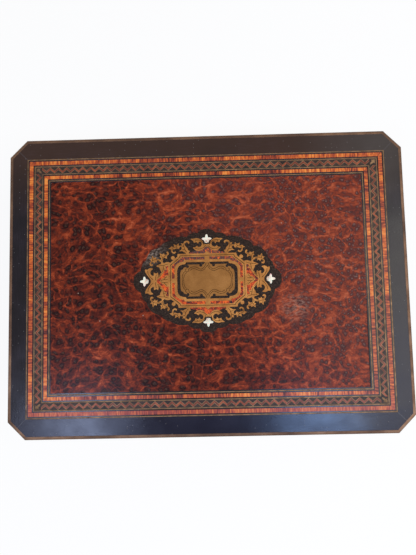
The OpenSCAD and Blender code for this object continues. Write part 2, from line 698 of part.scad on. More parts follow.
// Engraved veins of the leaves in one quarter
leaf_veins = [
    [[16.8, 23.6], [18.4, 26.2], [19.4, 29.4], [18.6, 31.8]], [[18.4, 26.2], [20.9, 25.8]],
    [[19.2, 28.8], [21.4, 29.1]],
    [[24.2, 30.2], [26, 28.3], [29, 27.4], [29.2, 25]], [[26, 28.3], [24.6, 27.6]],
    [[38, 16.6], [37, 19.6], [38.4, 22]], [[37, 19.6], [34.8, 20.9], [33, 22.8]],
    [[39.8, 17.4], [43, 18.2], [45.6, 17.4], [47.2, 14.9]], [[45.2, 20.2], [45.6, 17.4]],
    [[32, 14.4], [36, 13.2], [41, 12.8]], [[36, 13.2], [36.8, 10], [37.3, 7.6]],
    [[36.8, 10], [34.8, 10.2]],
    [[0.8, 29.2], [3.6, 26.8], [6.8, 26], [10, 27]], [[2.2, 29.2], [3.2, 31.8], [6, 33.7], [11.4, 34]],
    [[8.6, 33.7], [9.8, 32.5]],
    [[43.4, 0.8], [43.2, 3.4], [42.6, 5.6]], [[45.2, 1.4], [47.6, 3.4], [49.4, 6.4], [49.8, 8.8]],
    [[41.6, 2.6], [38.8, 5.4]],
    [[38.8, 0.5], [36.4, 1.2], [33.2, 1.2]], [[36.4, 1.2], [33.9, 3.8]]];

// Engraved lines of the plate in one quarter
plate_lines = [
    [[0.8, 14.6], [1.6, 12.4], [3.4, 10], [5.6, 9.3], [7.8, 10.3], [10.4, 11.3], [13.2, 11], [15.3, 9.6],
     [15.7, 7.9], [16.9, 7.2], [18.2, 7.8], [18.3, 9.2], [17.2, 9.8]],
    [[0, 12.6], [1.2, 10.6], [3.2, 8.6], [5.8, 7.9], [8.2, 8.8], [10.6, 9.8], [12.8, 9.5], [14.2, 8.4]],
    [[21, 0], [20.9, 3.4], [20, 6.2], [18.6, 7.6]],
    [[19.8, 0], [19.6, 3], [18.7, 5.4], [17.2, 6.6]]];

module leaf(points) { polygon(smooth(points)); }

module foliage_drawn() {
    quarters() {
        for (p = [hook_leaf, star_leaf, lower_leaf, outer_leaf, corner_acanthus]) leaf(p);
        polygon(round_dot(cant_nub, cant_nub_r));
    }
    both_x() for (p = [calyx_half, side_petal_half]) leaf(closed_over_x(p));
    for (a = [0, 180]) rotate(a) leaf(closed_over_y(scroll_half));
}

module lilies_drawn() {
    for (a = [0, 180]) rotate(a) {
        translate([lily_x, 0]) leaf(closed_over_x(lily_half));
        translate([0, lily_y]) rotate(90) leaf(closed_over_x(lily_half));
    }
}

module shell_fields_drawn() {
    for (a = [0, 180]) rotate(a) {
        leaf(closed_over_y(shell_top_half));
        leaf(closed_over_x(shell_side_half));
    }
}

module bridges_drawn() {
    square([2 * bridge_x, 2 * band_inner[3][1]], center = true);
    square([2 * band_inner[0][0], 2 * bridge_y], center = true);
}

module plate_drawn() {
    difference() {
        polygon(four(plate_edge));
        quarters() for (c = plate_notches) polygon(round_dot(c, plate_notch_r));
    }
}

module on_medallion() { on_lid() translate([0, medallion_shift, 0]) children(); }
module inlay() { on_medallion() linear_extrude(veneer) scale([mk, mk]) children(); }

// Shallow cut in the top face
module engraving() {
    on_medallion() translate([0, 0, veneer - engrave_d]) linear_extrude(veneer) scale([mk, mk]) children();
}

module lid_burl_panel() {
    color([0.43, 0.19, 0.11]) on_lid() linear_extrude(veneer) difference() {
        square([2 * burl_hx, 2 * burl_hy], center = true);
        translate([0, medallion_shift]) scale([mk, mk]) polygon(four(medallion_edge));
    }
}

module medallion_ground() {
    color([0.16, 0.14, 0.14]) inlay() {
        difference() {
            polygon(four(medallion_edge));
            polygon(four(band_outer));
            foliage_drawn();
            lilies_drawn();
            shell_fields_drawn();
        }
        difference() {
            polygon(four(well));
            plate_drawn();
        }
    }
}

module medallion_outer_band() {
    color("goldenrod") difference() {
        inlay() difference() {
            polygon(four(band_outer));
            polygon(four(band_inner));
        }
        engraving() difference() {
            polygon(four(band_groove));
            polygon(four([for (p = band_groove) p - [engrave_drawn, engrave_drawn]]));
        }
    }
}

module medallion_shell() {
    color("firebrick") inlay() {
        difference() {
            polygon(four(band_inner));
            polygon(four(ring_inner));
            bridges_drawn();
        }
        difference() {
            shell_fields_drawn();
            foliage_drawn();
            polygon(four(band_outer));
        }
    }
}

module medallion_inner_band() {
    color("goldenrod") inlay() difference() {
        union() {
            polygon(four(ring_inner));
            intersection() {
                polygon(four(band_inner));
                bridges_drawn();
            }
        }
        polygon(four(well));
    }
}

module medallion_foliage() {
    color("goldenrod") difference() {
        inlay() difference() {
            foliage_drawn();
            polygon(four(band_outer));
        }
        engraving() quarters() for (p = leaf_veins) polygon(stroke(p, engrave_drawn));
    }
}

module medallion_lilies() { color("ivory") inlay() lilies_drawn(); }

module cartouche_plate() {
    color("darkgoldenrod") difference() {
        inlay() plate_drawn();
        engraving() quarters() for (p = plate_lines) polygon(stroke(smooth_open(p), engrave_drawn));
    }
}

// ---------- lining ----------

// Four upright linings between z0 and z1
module wall_lining(z0, z1) {
    around(inner_hw, inner_hd) translate([0, 0, z0]) linear_extrude(z1 - z0)
        polygon([[-$a, -$b], [$a, -$b], [$a - wall_lining_t, -$b + wall_lining_t],
                 [-$a + wall_lining_t, -$b + wall_lining_t]]);
}

module pad(z0, t) {
    half_x = inner_hw - wall_lining_t - pad_gap;
    half_y = inner_hd - wall_lining_t - pad_gap;
    translate([-half_x, -half_y, z0]) cube([2 * half_x, 2 * half_y, t]);
}

module case_wall_lining() { color("purple") wall_lining(floor_z, case_top - lining_drop); }
module floor_pad() { color("purple") pad(floor_z, floor_pad_t); }
module lid_wall_lining() { color("purple") wall_lining(lid_bottom + lining_drop, ceiling_z); }
module lid_pad() { color("purple") pad(ceiling_z - lid_pad_t, lid_pad_t); }

// ---------- hinges ----------

module at_hinges() { for (s = [-1, 1]) translate([s * hinge_x, 0, 0]) children(); }

module at_hinge_screws() {
    at_hinges() for (s = [-1, 0, 1]) translate([s * hinge_screw_dx, hinge_screw_y, 0]) children();
}

// A length of the barrel round the hinge axis, between two X positions
module barrel(x0, x1, r) {
    translate([x0, hd, seam_z]) rotate([0, 90, 0]) cylinder(h = x1 - x0, r = r);
}

// Room for the leaf and the barrel; side is -1 in the case and 1 in the lid
module hinge_recess(side) {
    at_hinges() {
        leaf_block(side, hinge_l / 2 + knuckle_play);
        barrel(-hinge_l / 2 - knuckle_play, hinge_l / 2 + knuckle_play, knuckle_r + knuckle_fit);
    }
}

module leaf_block(side, half) {
    z0 = side < 0 ? case_top - hinge_leaf_t : lid_bottom;
    translate([-half, hd - hinge_leaf_d, z0]) cube([2 * half, hinge_leaf_d, hinge_leaf_t]);
}

// The five knuckles alternate: the case leaf has the ends and the middle
module hinge_leaf(side) {
    own = side < 0 ? [0, 2, 4] : [1, 3];
    other = side < 0 ? [1, 3] : [0, 2, 4];
    at_hinges() difference() {
        union() {
            difference() {
                leaf_block(side, hinge_l / 2);
                for (i = other) barrel(-hinge_l / 2 + i * knuckle_pitch - knuckle_play,
                    -hinge_l / 2 + (i + 1) * knuckle_pitch + knuckle_play, knuckle_r + knuckle_fit);
            }
            for (i = own) barrel(-hinge_l / 2 + i * knuckle_pitch + knuckle_play / 2,
                -hinge_l / 2 + (i + 1) * knuckle_pitch - knuckle_play / 2, knuckle_r);
        }
        barrel(-hinge_l, hinge_l, hinge_pin_d / 2 + run_fit);
    }
}

module hinge_case_leaves() {
    color("goldenrod") difference() {
        hinge_leaf(-1);
        at_hinge_screws() translate([0, 0, case_top]) screw_body(screw_fit);
    }
}

module hinge_lid_leaves() {
    color("goldenrod") difference() {
        hinge_leaf(1);
        at_hinge_screws() translate([0, 0, lid_bottom]) mirror([0, 0, 1]) screw_body(screw_fit);
    }
}

module hinge_pins() { color("silver") at_hinges() barrel(-hinge_l / 2, hinge_l / 2, hinge_pin_d / 2); }
module hinge_case_screws() { color("goldenrod") at_hinge_screws() translate([0, 0, case_top]) screw(); }

module hinge_lid_screws() {
    color("goldenrod") at_hinge_screws() translate([0, 0, lid_bottom]) mirror([0, 0, 1]) screw();
}

// ---------- lock ----------

module at_strike_screws() {
    for (s = [-1, 1]) translate([s * strike_screw_x, lock_y - strike_d / 2, 0]) children();
}

// Room for the top plate (side -1) or the link plate (side 1)
module strike_recess(side) {
    z0 = side < 0 ? case_top - strike_t : lid_bottom;
    translate([-strike_w / 2, lock_y - strike_d, z0]) cube([strike_w, strike_d, strike_t]);
}

module lock_recess() {
    translate([-lock_w / 2, lock_y - lock_t, lock_bottom])
        cube([lock_w, lock_t, case_top + cut_over - lock_bottom]);
}

module keyhole_2d() {
    translate([0, key_z]) {
        circle(keyhole_d / 2);
        translate([-key_slot_w / 2, -key_slot_h]) square([key_slot_w, key_slot_h]);
    }
}

// The keyhole, from the outer face into the lock
module keyhole_cut() {
    translate([0, lock_y - lock_t + lock_plate_t + touch, 0]) rotate([90, 0, 0])
        linear_extrude(wall_board + veneer) keyhole_2d();
}

module escutcheon() {
    color("goldenrod") translate([0, -hd + veneer, 0]) rotate([90, 0, 0]) linear_extrude(veneer)
        difference() {
            translate([0, key_z]) polygon(closed_over_y(escutcheon_half));
            keyhole_2d();
        }
}

module lock_case() {
    color("goldenrod") difference() {
        union() {
            difference() {
                translate([-lock_w / 2, lock_y - lock_t, lock_bottom])
                    cube([lock_w, lock_t - lock_plate_t, case_top - strike_t - lock_bottom]);
                translate([-lock_w / 2 + lock_plate_t, lock_y - lock_t + lock_plate_t,
                    lock_bottom + lock_plate_t])
                    cube([lock_w - 2 * lock_plate_t, lock_t, case_top - lock_bottom]);
            }
            strike_recess(-1);
            // Studs that the bolt slides on, each with a shoulder
            for (x = stud_x) translate([x, 0, key_z]) {
                translate([0, bolt_y - bolt_t / 2 - run_fit, 0]) rotate([90, 0, 0])
                    cylinder(h = cavity_t / 2 - bolt_t / 2, r = stud_d);
                translate([0, lock_y - lock_plate_t, 0]) rotate([90, 0, 0])
                    cylinder(h = cavity_t, r = stud_d / 2);
            }
        }
        for (s = [-1, 1]) translate([s * staple_x - staple_t / 2 - staple_fit,
            bolt_y - staple_w / 2 - staple_fit, case_top - strike_t - cut_over])
            cube([staple_t + 2 * staple_fit, staple_w + 2 * staple_fit, strike_t + 2 * cut_over]);
        keyhole_cut();
        at_strike_screws() translate([0, 0, case_top]) screw_body(screw_fit);
    }
}

// Inner plate, with the pin that the hollow key turns on
module lock_cover() {
    color("goldenrod") {
        translate([-lock_w / 2, lock_y - lock_plate_t, lock_bottom])
            cube([lock_w, lock_plate_t, case_top - strike_t - lock_bottom]);
        translate([0, lock_y - lock_plate_t / 2, key_z]) rotate([90, 0, 0])
            cylinder(h = lock_t - lock_plate_t / 2, r = key_slot_w / 2);
    }
}

// Slot in which a stud stands while the bolt is thrown past it
module stud_slot(x) {
    r = stud_d / 2 + run_fit;
    for (dx = [-bolt_throw, 0]) translate([x + dx, key_z]) circle(r);
    translate([x - bolt_throw, key_z - r]) square([bolt_throw, 2 * r]);
}

// Bolt, drawn back: a plate on two studs with two prongs that enter the staples
module lock_bolt() {
    color("silver") translate([0, bolt_y + bolt_t / 2, 0]) rotate([90, 0, 0]) linear_extrude(bolt_t)
        difference() {
            union() {
                translate([bolt_x0, bolt_bottom]) square([bolt_x1 - bolt_x0, bolt_top - bolt_bottom]);
                for (s = [-1, 1]) {
                    tip = s * staple_x - staple_t / 2 - 2 * bolt_fit;
                    translate([tip - prong_l - post_w, bolt_bottom])
                        square([post_w, eye_z + bolt_h / 2 - bolt_bottom]);
                    translate([tip - prong_l - post_w, eye_z - bolt_h / 2])
                        square([prong_l + post_w, bolt_h]);
                }
            }
            for (x = stud_x) stud_slot(x);
            translate([key_notch[0], bolt_bottom - cut_over])
                square([key_notch[1] - key_notch[0], bolt_top - bolt_bottom + cut_over - bolt_bridge]);
        }
}

module lock_screws() { color("goldenrod") at_strike_screws() translate([0, 0, case_top]) screw(); }

// Link plate in the lid, with the two staples that drop into the lock
module link_plate() {
    color("goldenrod") difference() {
        union() {
            strike_recess(1);
            for (s = [-1, 1]) translate([s * staple_x - staple_t / 2, bolt_y - staple_w / 2,
                lid_bottom - staple_h]) cube([staple_t, staple_w, staple_h + strike_t / 2]);
        }
        for (s = [-1, 1]) translate([s * staple_x - staple_t, bolt_y - eye_w / 2, eye_z - eye_h / 2])
            cube([2 * staple_t, eye_w, eye_h]);
        at_strike_screws() translate([0, 0, lid_bottom]) mirror([0, 0, 1]) screw_body(screw_fit);
    }
}

module link_plate_screws() {
    color("goldenrod") at_strike_screws() translate([0, 0, lid_bottom]) mirror([0, 0, 1]) screw();
}

// ---------- assembly ----------

bottom_board();
case_front_board();
case_back_board();
case_left_board();
case_right_board();
plinth();
case_side_border();
case_side_strings();
case_side_crossband();
case_side_burl();
escutcheon();
case_wall_lining();
floor_pad();
lock_case();
lock_cover();
lock_bolt();
lock_screws();
hinge_case_leaves();
hinge_case_screws();
hinge_pins();
lid_top_board();
lid_front_board();
lid_back_board();
lid_left_board();
lid_right_board();
lid_edge_bead();
lid_border();
lid_strings();
lid_fillets();
lid_outer_crossband();
lid_inner_crossband();
zigzag_ground();
zigzag_lines();
zigzag_stripe();
corner_ornaments();
lid_burl_panel();
medallion_ground();
medallion_outer_band();
medallion_shell();
medallion_inner_band();
medallion_foliage();
medallion_lilies();
cartouche_plate();
lid_side_border();
lid_side_strings();
lid_side_burl();
lid_wall_lining();
lid_pad();
hinge_lid_leaves();
hinge_lid_screws();
link_plate();
link_plate_screws();
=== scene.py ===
"""The looks of the inlaid casket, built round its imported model.

Metres, in the frame of the model: the origin is under the middle of the box on the surface
that it stands on, X runs to the right, Y to the back where the hinges are, and Z up.
Colours are written as display values from 0 to 255.
"""

import math

import bmesh
import bpy
from mathutils import Euler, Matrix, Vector


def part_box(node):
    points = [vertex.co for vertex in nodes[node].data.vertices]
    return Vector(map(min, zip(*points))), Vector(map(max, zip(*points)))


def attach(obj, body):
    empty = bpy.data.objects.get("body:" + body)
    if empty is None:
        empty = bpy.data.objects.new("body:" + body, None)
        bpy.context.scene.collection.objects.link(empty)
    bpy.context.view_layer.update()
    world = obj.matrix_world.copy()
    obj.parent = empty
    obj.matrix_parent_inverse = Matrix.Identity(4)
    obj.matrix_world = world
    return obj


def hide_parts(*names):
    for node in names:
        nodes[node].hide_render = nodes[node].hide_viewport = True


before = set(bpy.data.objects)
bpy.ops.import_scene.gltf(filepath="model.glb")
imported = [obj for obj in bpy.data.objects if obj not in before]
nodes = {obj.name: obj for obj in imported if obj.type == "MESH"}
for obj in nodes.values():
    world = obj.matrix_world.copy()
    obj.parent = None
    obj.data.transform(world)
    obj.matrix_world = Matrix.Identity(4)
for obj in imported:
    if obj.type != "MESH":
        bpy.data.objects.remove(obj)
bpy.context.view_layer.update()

MM = 0.001

# ---------- sizes read from the frame ----------

LID_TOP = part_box("lid_burl_panel")[1].z
LID_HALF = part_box("lid_edge_bead")[1]
STRING_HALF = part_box("lid_strings")[1]
OUTER_CROSS_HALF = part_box("lid_outer_crossband")[1]
ZIGZAG_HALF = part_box("zigzag_ground")[1]
INNER_CROSS_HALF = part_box("lid_inner_crossband")[1]
BURL_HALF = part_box("lid_burl_panel")[1]
SEAM_Z = (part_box("case_side_border")[1].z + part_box("lid_side_border")[0].z) / 2
LILY_LOW, LILY_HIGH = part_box("medallion_lilies")
MEDALLION_CENTRE = (LILY_LOW + LILY_HIGH) / 2
LILY_LENGTH = 7.2 * MM
# from the medallion's centre to the middles of its lilies, along X and along Y
MEDALLION_LILY = (LILY_HIGH - LILY_LOW) / 2 - Vector((1, 1, 0)) * LILY_LENGTH / 2

PAD_GAP = 0.3 * MM  # between the floor's cushion and the linings, as in the CAD model
LINING_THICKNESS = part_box("case_wall_lining")[1].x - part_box("floor_pad")[1].x - PAD_GAP

# ---------- camera ----------

CAMERA_SENSOR = 36
CAMERA_LENS = 27.05
CAMERA_TURN = (4.1, 0.835, -1.313)  # degrees about X, Y and Z, from looking straight down
CAMERA_CLIP = 0.01
LID_FROM_CAMERA = Vector((-0.38, -4.14, -346.78)) * MM  # the lid's middle, in the camera's own frame


def linear(display):
    """A display value from 0 to 255 as a linear share."""
    share = display / 255
    return share / 12.92 if share <= 0.04045 else ((share + 0.055) / 1.055) ** 2.4


def rgb(red, green, blue):
    """A colour written as display values, as linear RGBA."""
    return (linear(red), linear(green), linear(blue), 1.0)


def add_camera():
    """The camera over the lid, a little in front of it and turned as it was held."""
    data = bpy.data.cameras.new("camera")
    data.sensor_width = CAMERA_SENSOR
    data.lens = CAMERA_LENS
    data.clip_start = CAMERA_CLIP
    camera = bpy.data.objects.new("camera", data)
    camera.rotation_euler = Euler([math.radians(a) for a in CAMERA_TURN])
    turn = camera.rotation_euler.to_matrix()
    camera.location = Vector((0, 0, LID_TOP)) - turn @ LID_FROM_CAMERA
    bpy.context.scene.collection.objects.link(camera)
    bpy.context.scene.camera = camera


# ---------- shader building ----------

SIDE_DEPTH = 2  # mm behind the lid's edge within which a point lies on a front or back face


class Shader:
    """A material under construction: one Principled shader and short calls for the nodes that feed it."""

    def __init__(self, name, **constants):
        self.material = bpy.data.materials.new(name)
        self.material.use_nodes = True
        self.tree = self.material.node_tree
        self.bsdf = self.tree.nodes["Principled BSDF"]
        for socket, value in constants.items():
            self.bsdf.inputs[socket.replace("_", " ")].default_value = value
        coordinates = self.tree.nodes.new("ShaderNodeTexCoord")
        self.mm = self.scaled(coordinates.outputs["Object"], (1 / MM,) * 3)
        self.x, self.y, self.z = self.split(self.mm)

    def feed(self, socket, value):
        """Links a socket to another, or sets its constant."""
        if isinstance(value, bpy.types.NodeSocket):
            self.tree.links.new(value, socket)
        else:
            socket.default_value = value

    def node(self, kind, inputs, output=0, **settings):
        """Adds a node, feeds its inputs by name or index and returns one output."""
        made = self.tree.nodes.new(kind)
        for key, value in settings.items():
            setattr(made, key, value)
        for socket, value in inputs.items():
            self.feed(made.inputs[socket], value)
        return made.outputs[output]

    def math(self, operation, a, b=0.0, clamp=False):
        """One sum on numbers."""
        return self.node("ShaderNodeMath", {0: a, 1: b}, operation=operation, use_clamp=clamp)

    def add(self, a, b):
        return self.math("ADD", a, b)

    def times(self, a, b):
        return self.math("MULTIPLY", a, b)

    def minus(self, a, b):
        return self.math("SUBTRACT", a, b)

    def vector(self, operation, a, b):
        return self.node("ShaderNodeVectorMath", {0: a, 1: b}, operation=operation)

    def scaled(self, vector, factors):
        """A vector with each of its parts multiplied."""
        return self.vector("MULTIPLY", vector, factors)

    def centred(self, colour):
        """A colour of noise as a vector from -0.5 to 0.5."""
        return self.vector("SUBTRACT", colour, (0.5, 0.5, 0.5))

    def split(self, vector):
        """The three parts of a vector."""
        made = self.tree.nodes.new("ShaderNodeSeparateXYZ")
        self.tree.links.new(vector, made.inputs[0])
        return made.outputs

    def combine(self, x, y, z):
        return self.node("ShaderNodeCombineXYZ", {0: x, 1: y, 2: z})

    def noise(self, vector, size, detail=3.0, roughness=0.5, distortion=0.0, colour=False):
        """Noise whose features are about size millimetres across; about 0 to 1, or a colour."""
        inputs = {
            "Vector": vector,
            "Scale": 1 / size,
            "Detail": detail,
            "Roughness": roughness,
            "Distortion": distortion,
        }
        return self.node("ShaderNodeTexNoise", inputs, "Color" if colour else 0)

    def ripple(self, vector, size, detail=3.0, roughness=0.5):
        """The same noise about 0, from -0.5 to 0.5."""
        return self.minus(self.noise(vector, size, detail, roughness), 0.5)

    def cells(self, vector, size, feature="F1", output="Distance", dimensions="3D"):
        """Voronoi cells about size millimetres across."""
        inputs = {"Vector": vector, "Scale": 1 / size}
        settings = {"feature": feature, "voronoi_dimensions": dimensions}
        return self.node("ShaderNodeTexVoronoi", inputs, output, **settings)

    def lot(self, number):
        """A random number from 0 to 1 for each whole number."""
        return self.node("ShaderNodeTexWhiteNoise", {"W": number}, noise_dimensions="1D")

    def smooth(self, value, low, high, to_low=0.0, to_high=1.0):
        """Smooth step of value between low and high; low may be the larger."""
        inputs = {"Value": value, "From Min": low, "From Max": high, "To Min": to_low, "To Max": to_high}
        return self.node("ShaderNodeMapRange", inputs, interpolation_type="SMOOTHSTEP")

    def span(self, value, low, high, to_low, to_high):
        """Straight-line map of value between low and high."""
        inputs = {"Value": value, "From Min": low, "From Max": high, "To Min": to_low, "To Max": to_high}
        return self.node("ShaderNodeMapRange", inputs, clamp=True)

    def mixed(self, share, a, b):
        """A number that goes from a to b with share."""
        return self.node("ShaderNodeMix", {0: share, 2: a, 3: b}, 0)

    def blend(self, share, a, b):
        """A colour that goes from a to b with share."""
        return self.node("ShaderNodeMix", {0: share, 6: a, 7: b}, 2, data_type="RGBA")

    def ramp(self, value, stops):
        """Colour ramp through (place, colour) stops."""
        made = self.tree.nodes.new("ShaderNodeValToRGB")
        elements = made.color_ramp.elements
        while len(elements) < len(stops):
            elements.new(0.5)
        for element, (place, colour) in zip(elements, stops):
            element.position = place
            element.color = colour
        self.feed(made.inputs[0], value)
        return made.outputs[0]

    def bump(self, height, distance, strength=1.0):
        """Bump from a height of 0 to 1 that stands for distance metres."""
        inputs = {"Height": height, "Distance": distance, "Strength": strength}
        self.feed(self.bsdf.inputs["Normal"], self.node("ShaderNodeBump", inputs))

    def finish(self, colour, roughness=None):
        """Feeds the shader its colour, and its roughness if that isn't a constant."""
        self.feed(self.bsdf.inputs["Base Color"], colour)
        if roughness is not None:
            self.feed(self.bsdf.inputs["Roughness"], roughness)
        return self.material


def top_coordinates(s):
    """X and Y, for what lies in the lid's top face."""
    return s.x, s.y


def face_coordinates(s):
    """Along and across a side face: along is X or Y, whichever the face runs in, and across is Z."""
    on_x_run = s.math("GREATER_THAN", s.math("ABSOLUTE", s.y), LID_HALF.y / MM - SIDE_DEPTH)
    return s.mixed(on_x_run, s.y, s.x), s.z


def mitre_offset(s, half):
    """How much further a point lies from the X ends of a frame than from its Y ends."""
    to_x_edge = s.minus(half.x / MM, s.math("ABSOLUTE", s.x))
    to_y_edge = s.minus(half.y / MM, s.math("ABSOLUTE", s.y))
    return s.minus(to_x_edge, to_y_edge)


def strip_coordinates(s, half):
    """Along and across the four mitred strips of a frame on the lid whose outer half-sizes are half."""
    runs_x = s.math("GREATER_THAN", mitre_offset(s, half), 0.0)
    return s.mixed(runs_x, s.y, s.x), s.mixed(runs_x, s.x, s.y)


def run_coordinates(s, half):
    """Along and across a frame on the lid, or where half is None along and across a side face."""
    return face_coordinates(s) if half is None else strip_coordinates(s, half)


# ---------- wood ----------

BURL_TONES = [
    (0.00, rgb(30, 10, 9)),
    (0.22, rgb(52, 18, 14)),
    (0.42, rgb(80, 29, 19)),
    (0.62, rgb(116, 44, 24)),
    (0.80, rgb(150, 63, 34)),
    (1.00, rgb(178, 90, 56)),
]
# sizes in the burr, in mm
CROWD_CELL = 8.8
LARGE_EYE_CELL = 4.8
SMALL_EYE_CELL = 3.5
PORE_CELL = 1.3
RAGGED_EDGE = 2.2
THREAD = 0.9
MOTTLE = 1.9
RIBBON = 3.8
WIDE_WARP = 46
FINE_WARP = 8
HAZE_RAMP_BEND_SIZE = 60
# how far noise moves the grain and the eyes, in mm along, across and up
GRAIN_WIDE_SHIFT = (30, 20, 0)
GRAIN_FINE_SHIFT = (6.5, 4.5, 0)
EYE_WIDE_SHIFT = (15, 10, 0)
EYE_FINE_SHIFT = (3.0, 2.4, 0)
HAZE_RAMP_BEND = 120
CROWD_STRETCH = (0.8, 1.15, 1)  # below 1 the crowds are drawn out, above 1 pressed together
RAGGEDNESS = 0.16  # of the outlines of crowds and eyes, as a share of their cells
SHRUNK_EDGE = (0.9, 0.5)  # where the gap at the panel's right edge starts and is full, from that edge
# how much each layer adds to the burr's tone, or takes from it
MIDDLE_TONE = 0.72
TONE_OF_PATCHES = 0.46
TONE_OF_VEINS = 0.16
TONE_OF_THREADS = 0.55
TONE_OF_MOTTLE = 0.55
TONE_OF_CROWDS = 0.18
TONE_OF_RIMS = 0.04
TONE_OF_EYES = 0.33
# painted shade: it darkens the burr towards the left and front of the lid
TONE_OF_PAINTED_SHADE = -0.13

EBONY_TONES = [(0.34, rgb(12, 7, 12)), (0.52, rgb(21, 15, 21)), (0.68, rgb(38, 31, 37))]
ZIGZAG_EBONY_TONES = [(0.36, rgb(30, 23, 21)), (0.5, rgb(50, 38, 33)), (0.66, rgb(76, 58, 48))]
GROUND_EBONY_TONES = [(0.36, rgb(28, 19, 14)), (0.54, rgb(45, 33, 25)), (0.72, rgb(80, 64, 52))]
STRIPE_TONES = [(0.15, rgb(78, 30, 26)), (0.5, rgb(124, 52, 36)), (0.85, rgb(166, 80, 48))]
TIMBER_TONES = [(0.3, rgb(92, 58, 36)), (0.52, rgb(136, 92, 58)), (0.75, rgb(170, 124, 84))]
CROSSBAND_TONES = [
    (0.32, rgb(72, 26, 20)),
    (0.44, rgb(122, 48, 32)),
    (0.56, rgb(172, 76, 38)),
    (0.70, rgb(212, 110, 44)),
    (0.82, rgb(232, 142, 64)),
]
CROSSBAND_LENGTH = 15.0  # mm of each length of the crossbanding
ZIGZAG_ARM = 3.45  # mm of each piece of the stripe

# colours that lie over the tones
# painted reflection haze: a pale colour laid over the burr towards the right and back
PAINTED_HAZE = rgb(146, 78, 62)
HAZY_SIDE_DARKS = rgb(76, 42, 42)
EYE_WAX = rgb(80, 56, 44)
HAZY_SIDE_WAX = rgb(126, 98, 88)
BURL_DUST = rgb(190, 165, 145)
RUBBED_BURL = rgb(190, 142, 118)
SHRUNK_GAP = rgb(18, 10, 8)
# painted reflections on the border's ebony: warm brown at the back, grey at the back right
BACK_BROWN_REFLECTION = rgb(92, 60, 38)
BACK_RIGHT_GREY_REFLECTION = rgb(84, 86, 82)
# painted reflection: blue-black on the border's front
FRONT_BLUE_REFLECTION = rgb(5, 7, 34)
MITRE_SEAM = rgb(92, 88, 88)
EBONY_DUST = rgb(150, 145, 140)
RUBBED_GROUND = rgb(172, 150, 132)
# painted sheen: the crossbanding's front run, darker and pinker
FRONT_CROSSBAND_SHEEN = rgb(144, 64, 64)

PANEL_WEAR = ((72, -22, 0), 17)  # centre and radius of the rubbed spot on the burr panel
GROUND_WEAR = ((-50, 30, LID_TOP / MM), 19)  # the same on the medallion's ground


def cell_lot(s, place, size, output=0):
    """One random number from 0 to 1 for each cell; output picks one of its three."""
    colour = s.cells(place, size, output="Color", dimensions="2D")
    return s.node("ShaderNodeSeparateColor", {0: colour}, output)


def specks(s, place, size, share):
    """Mask of small specks of dust, one in some of the cells."""
    chosen = s.math("GREATER_THAN", cell_lot(s, place, size), 1 - share)
    return s.times(chosen, s.smooth(s.cells(place, size, dimensions="2D"), 0.07, 0.03))


def rubbed_patch(s, flat, centre, radius):
    """Mask of a pale worn spot: torn streaks that thin out from its centre."""
    away = s.vector("SUBTRACT", flat, centre)
    distance = s.node("ShaderNodeVectorMath", {0: away}, 1, operation="LENGTH")
    near = s.smooth(distance, radius, radius * 0.2)
    streaks = s.smooth(s.noise(s.scaled(flat, (0.5, 1, 1)), 1.6, 3, 0.7), 0.40, 0.66)
    return s.times(near, streaks)


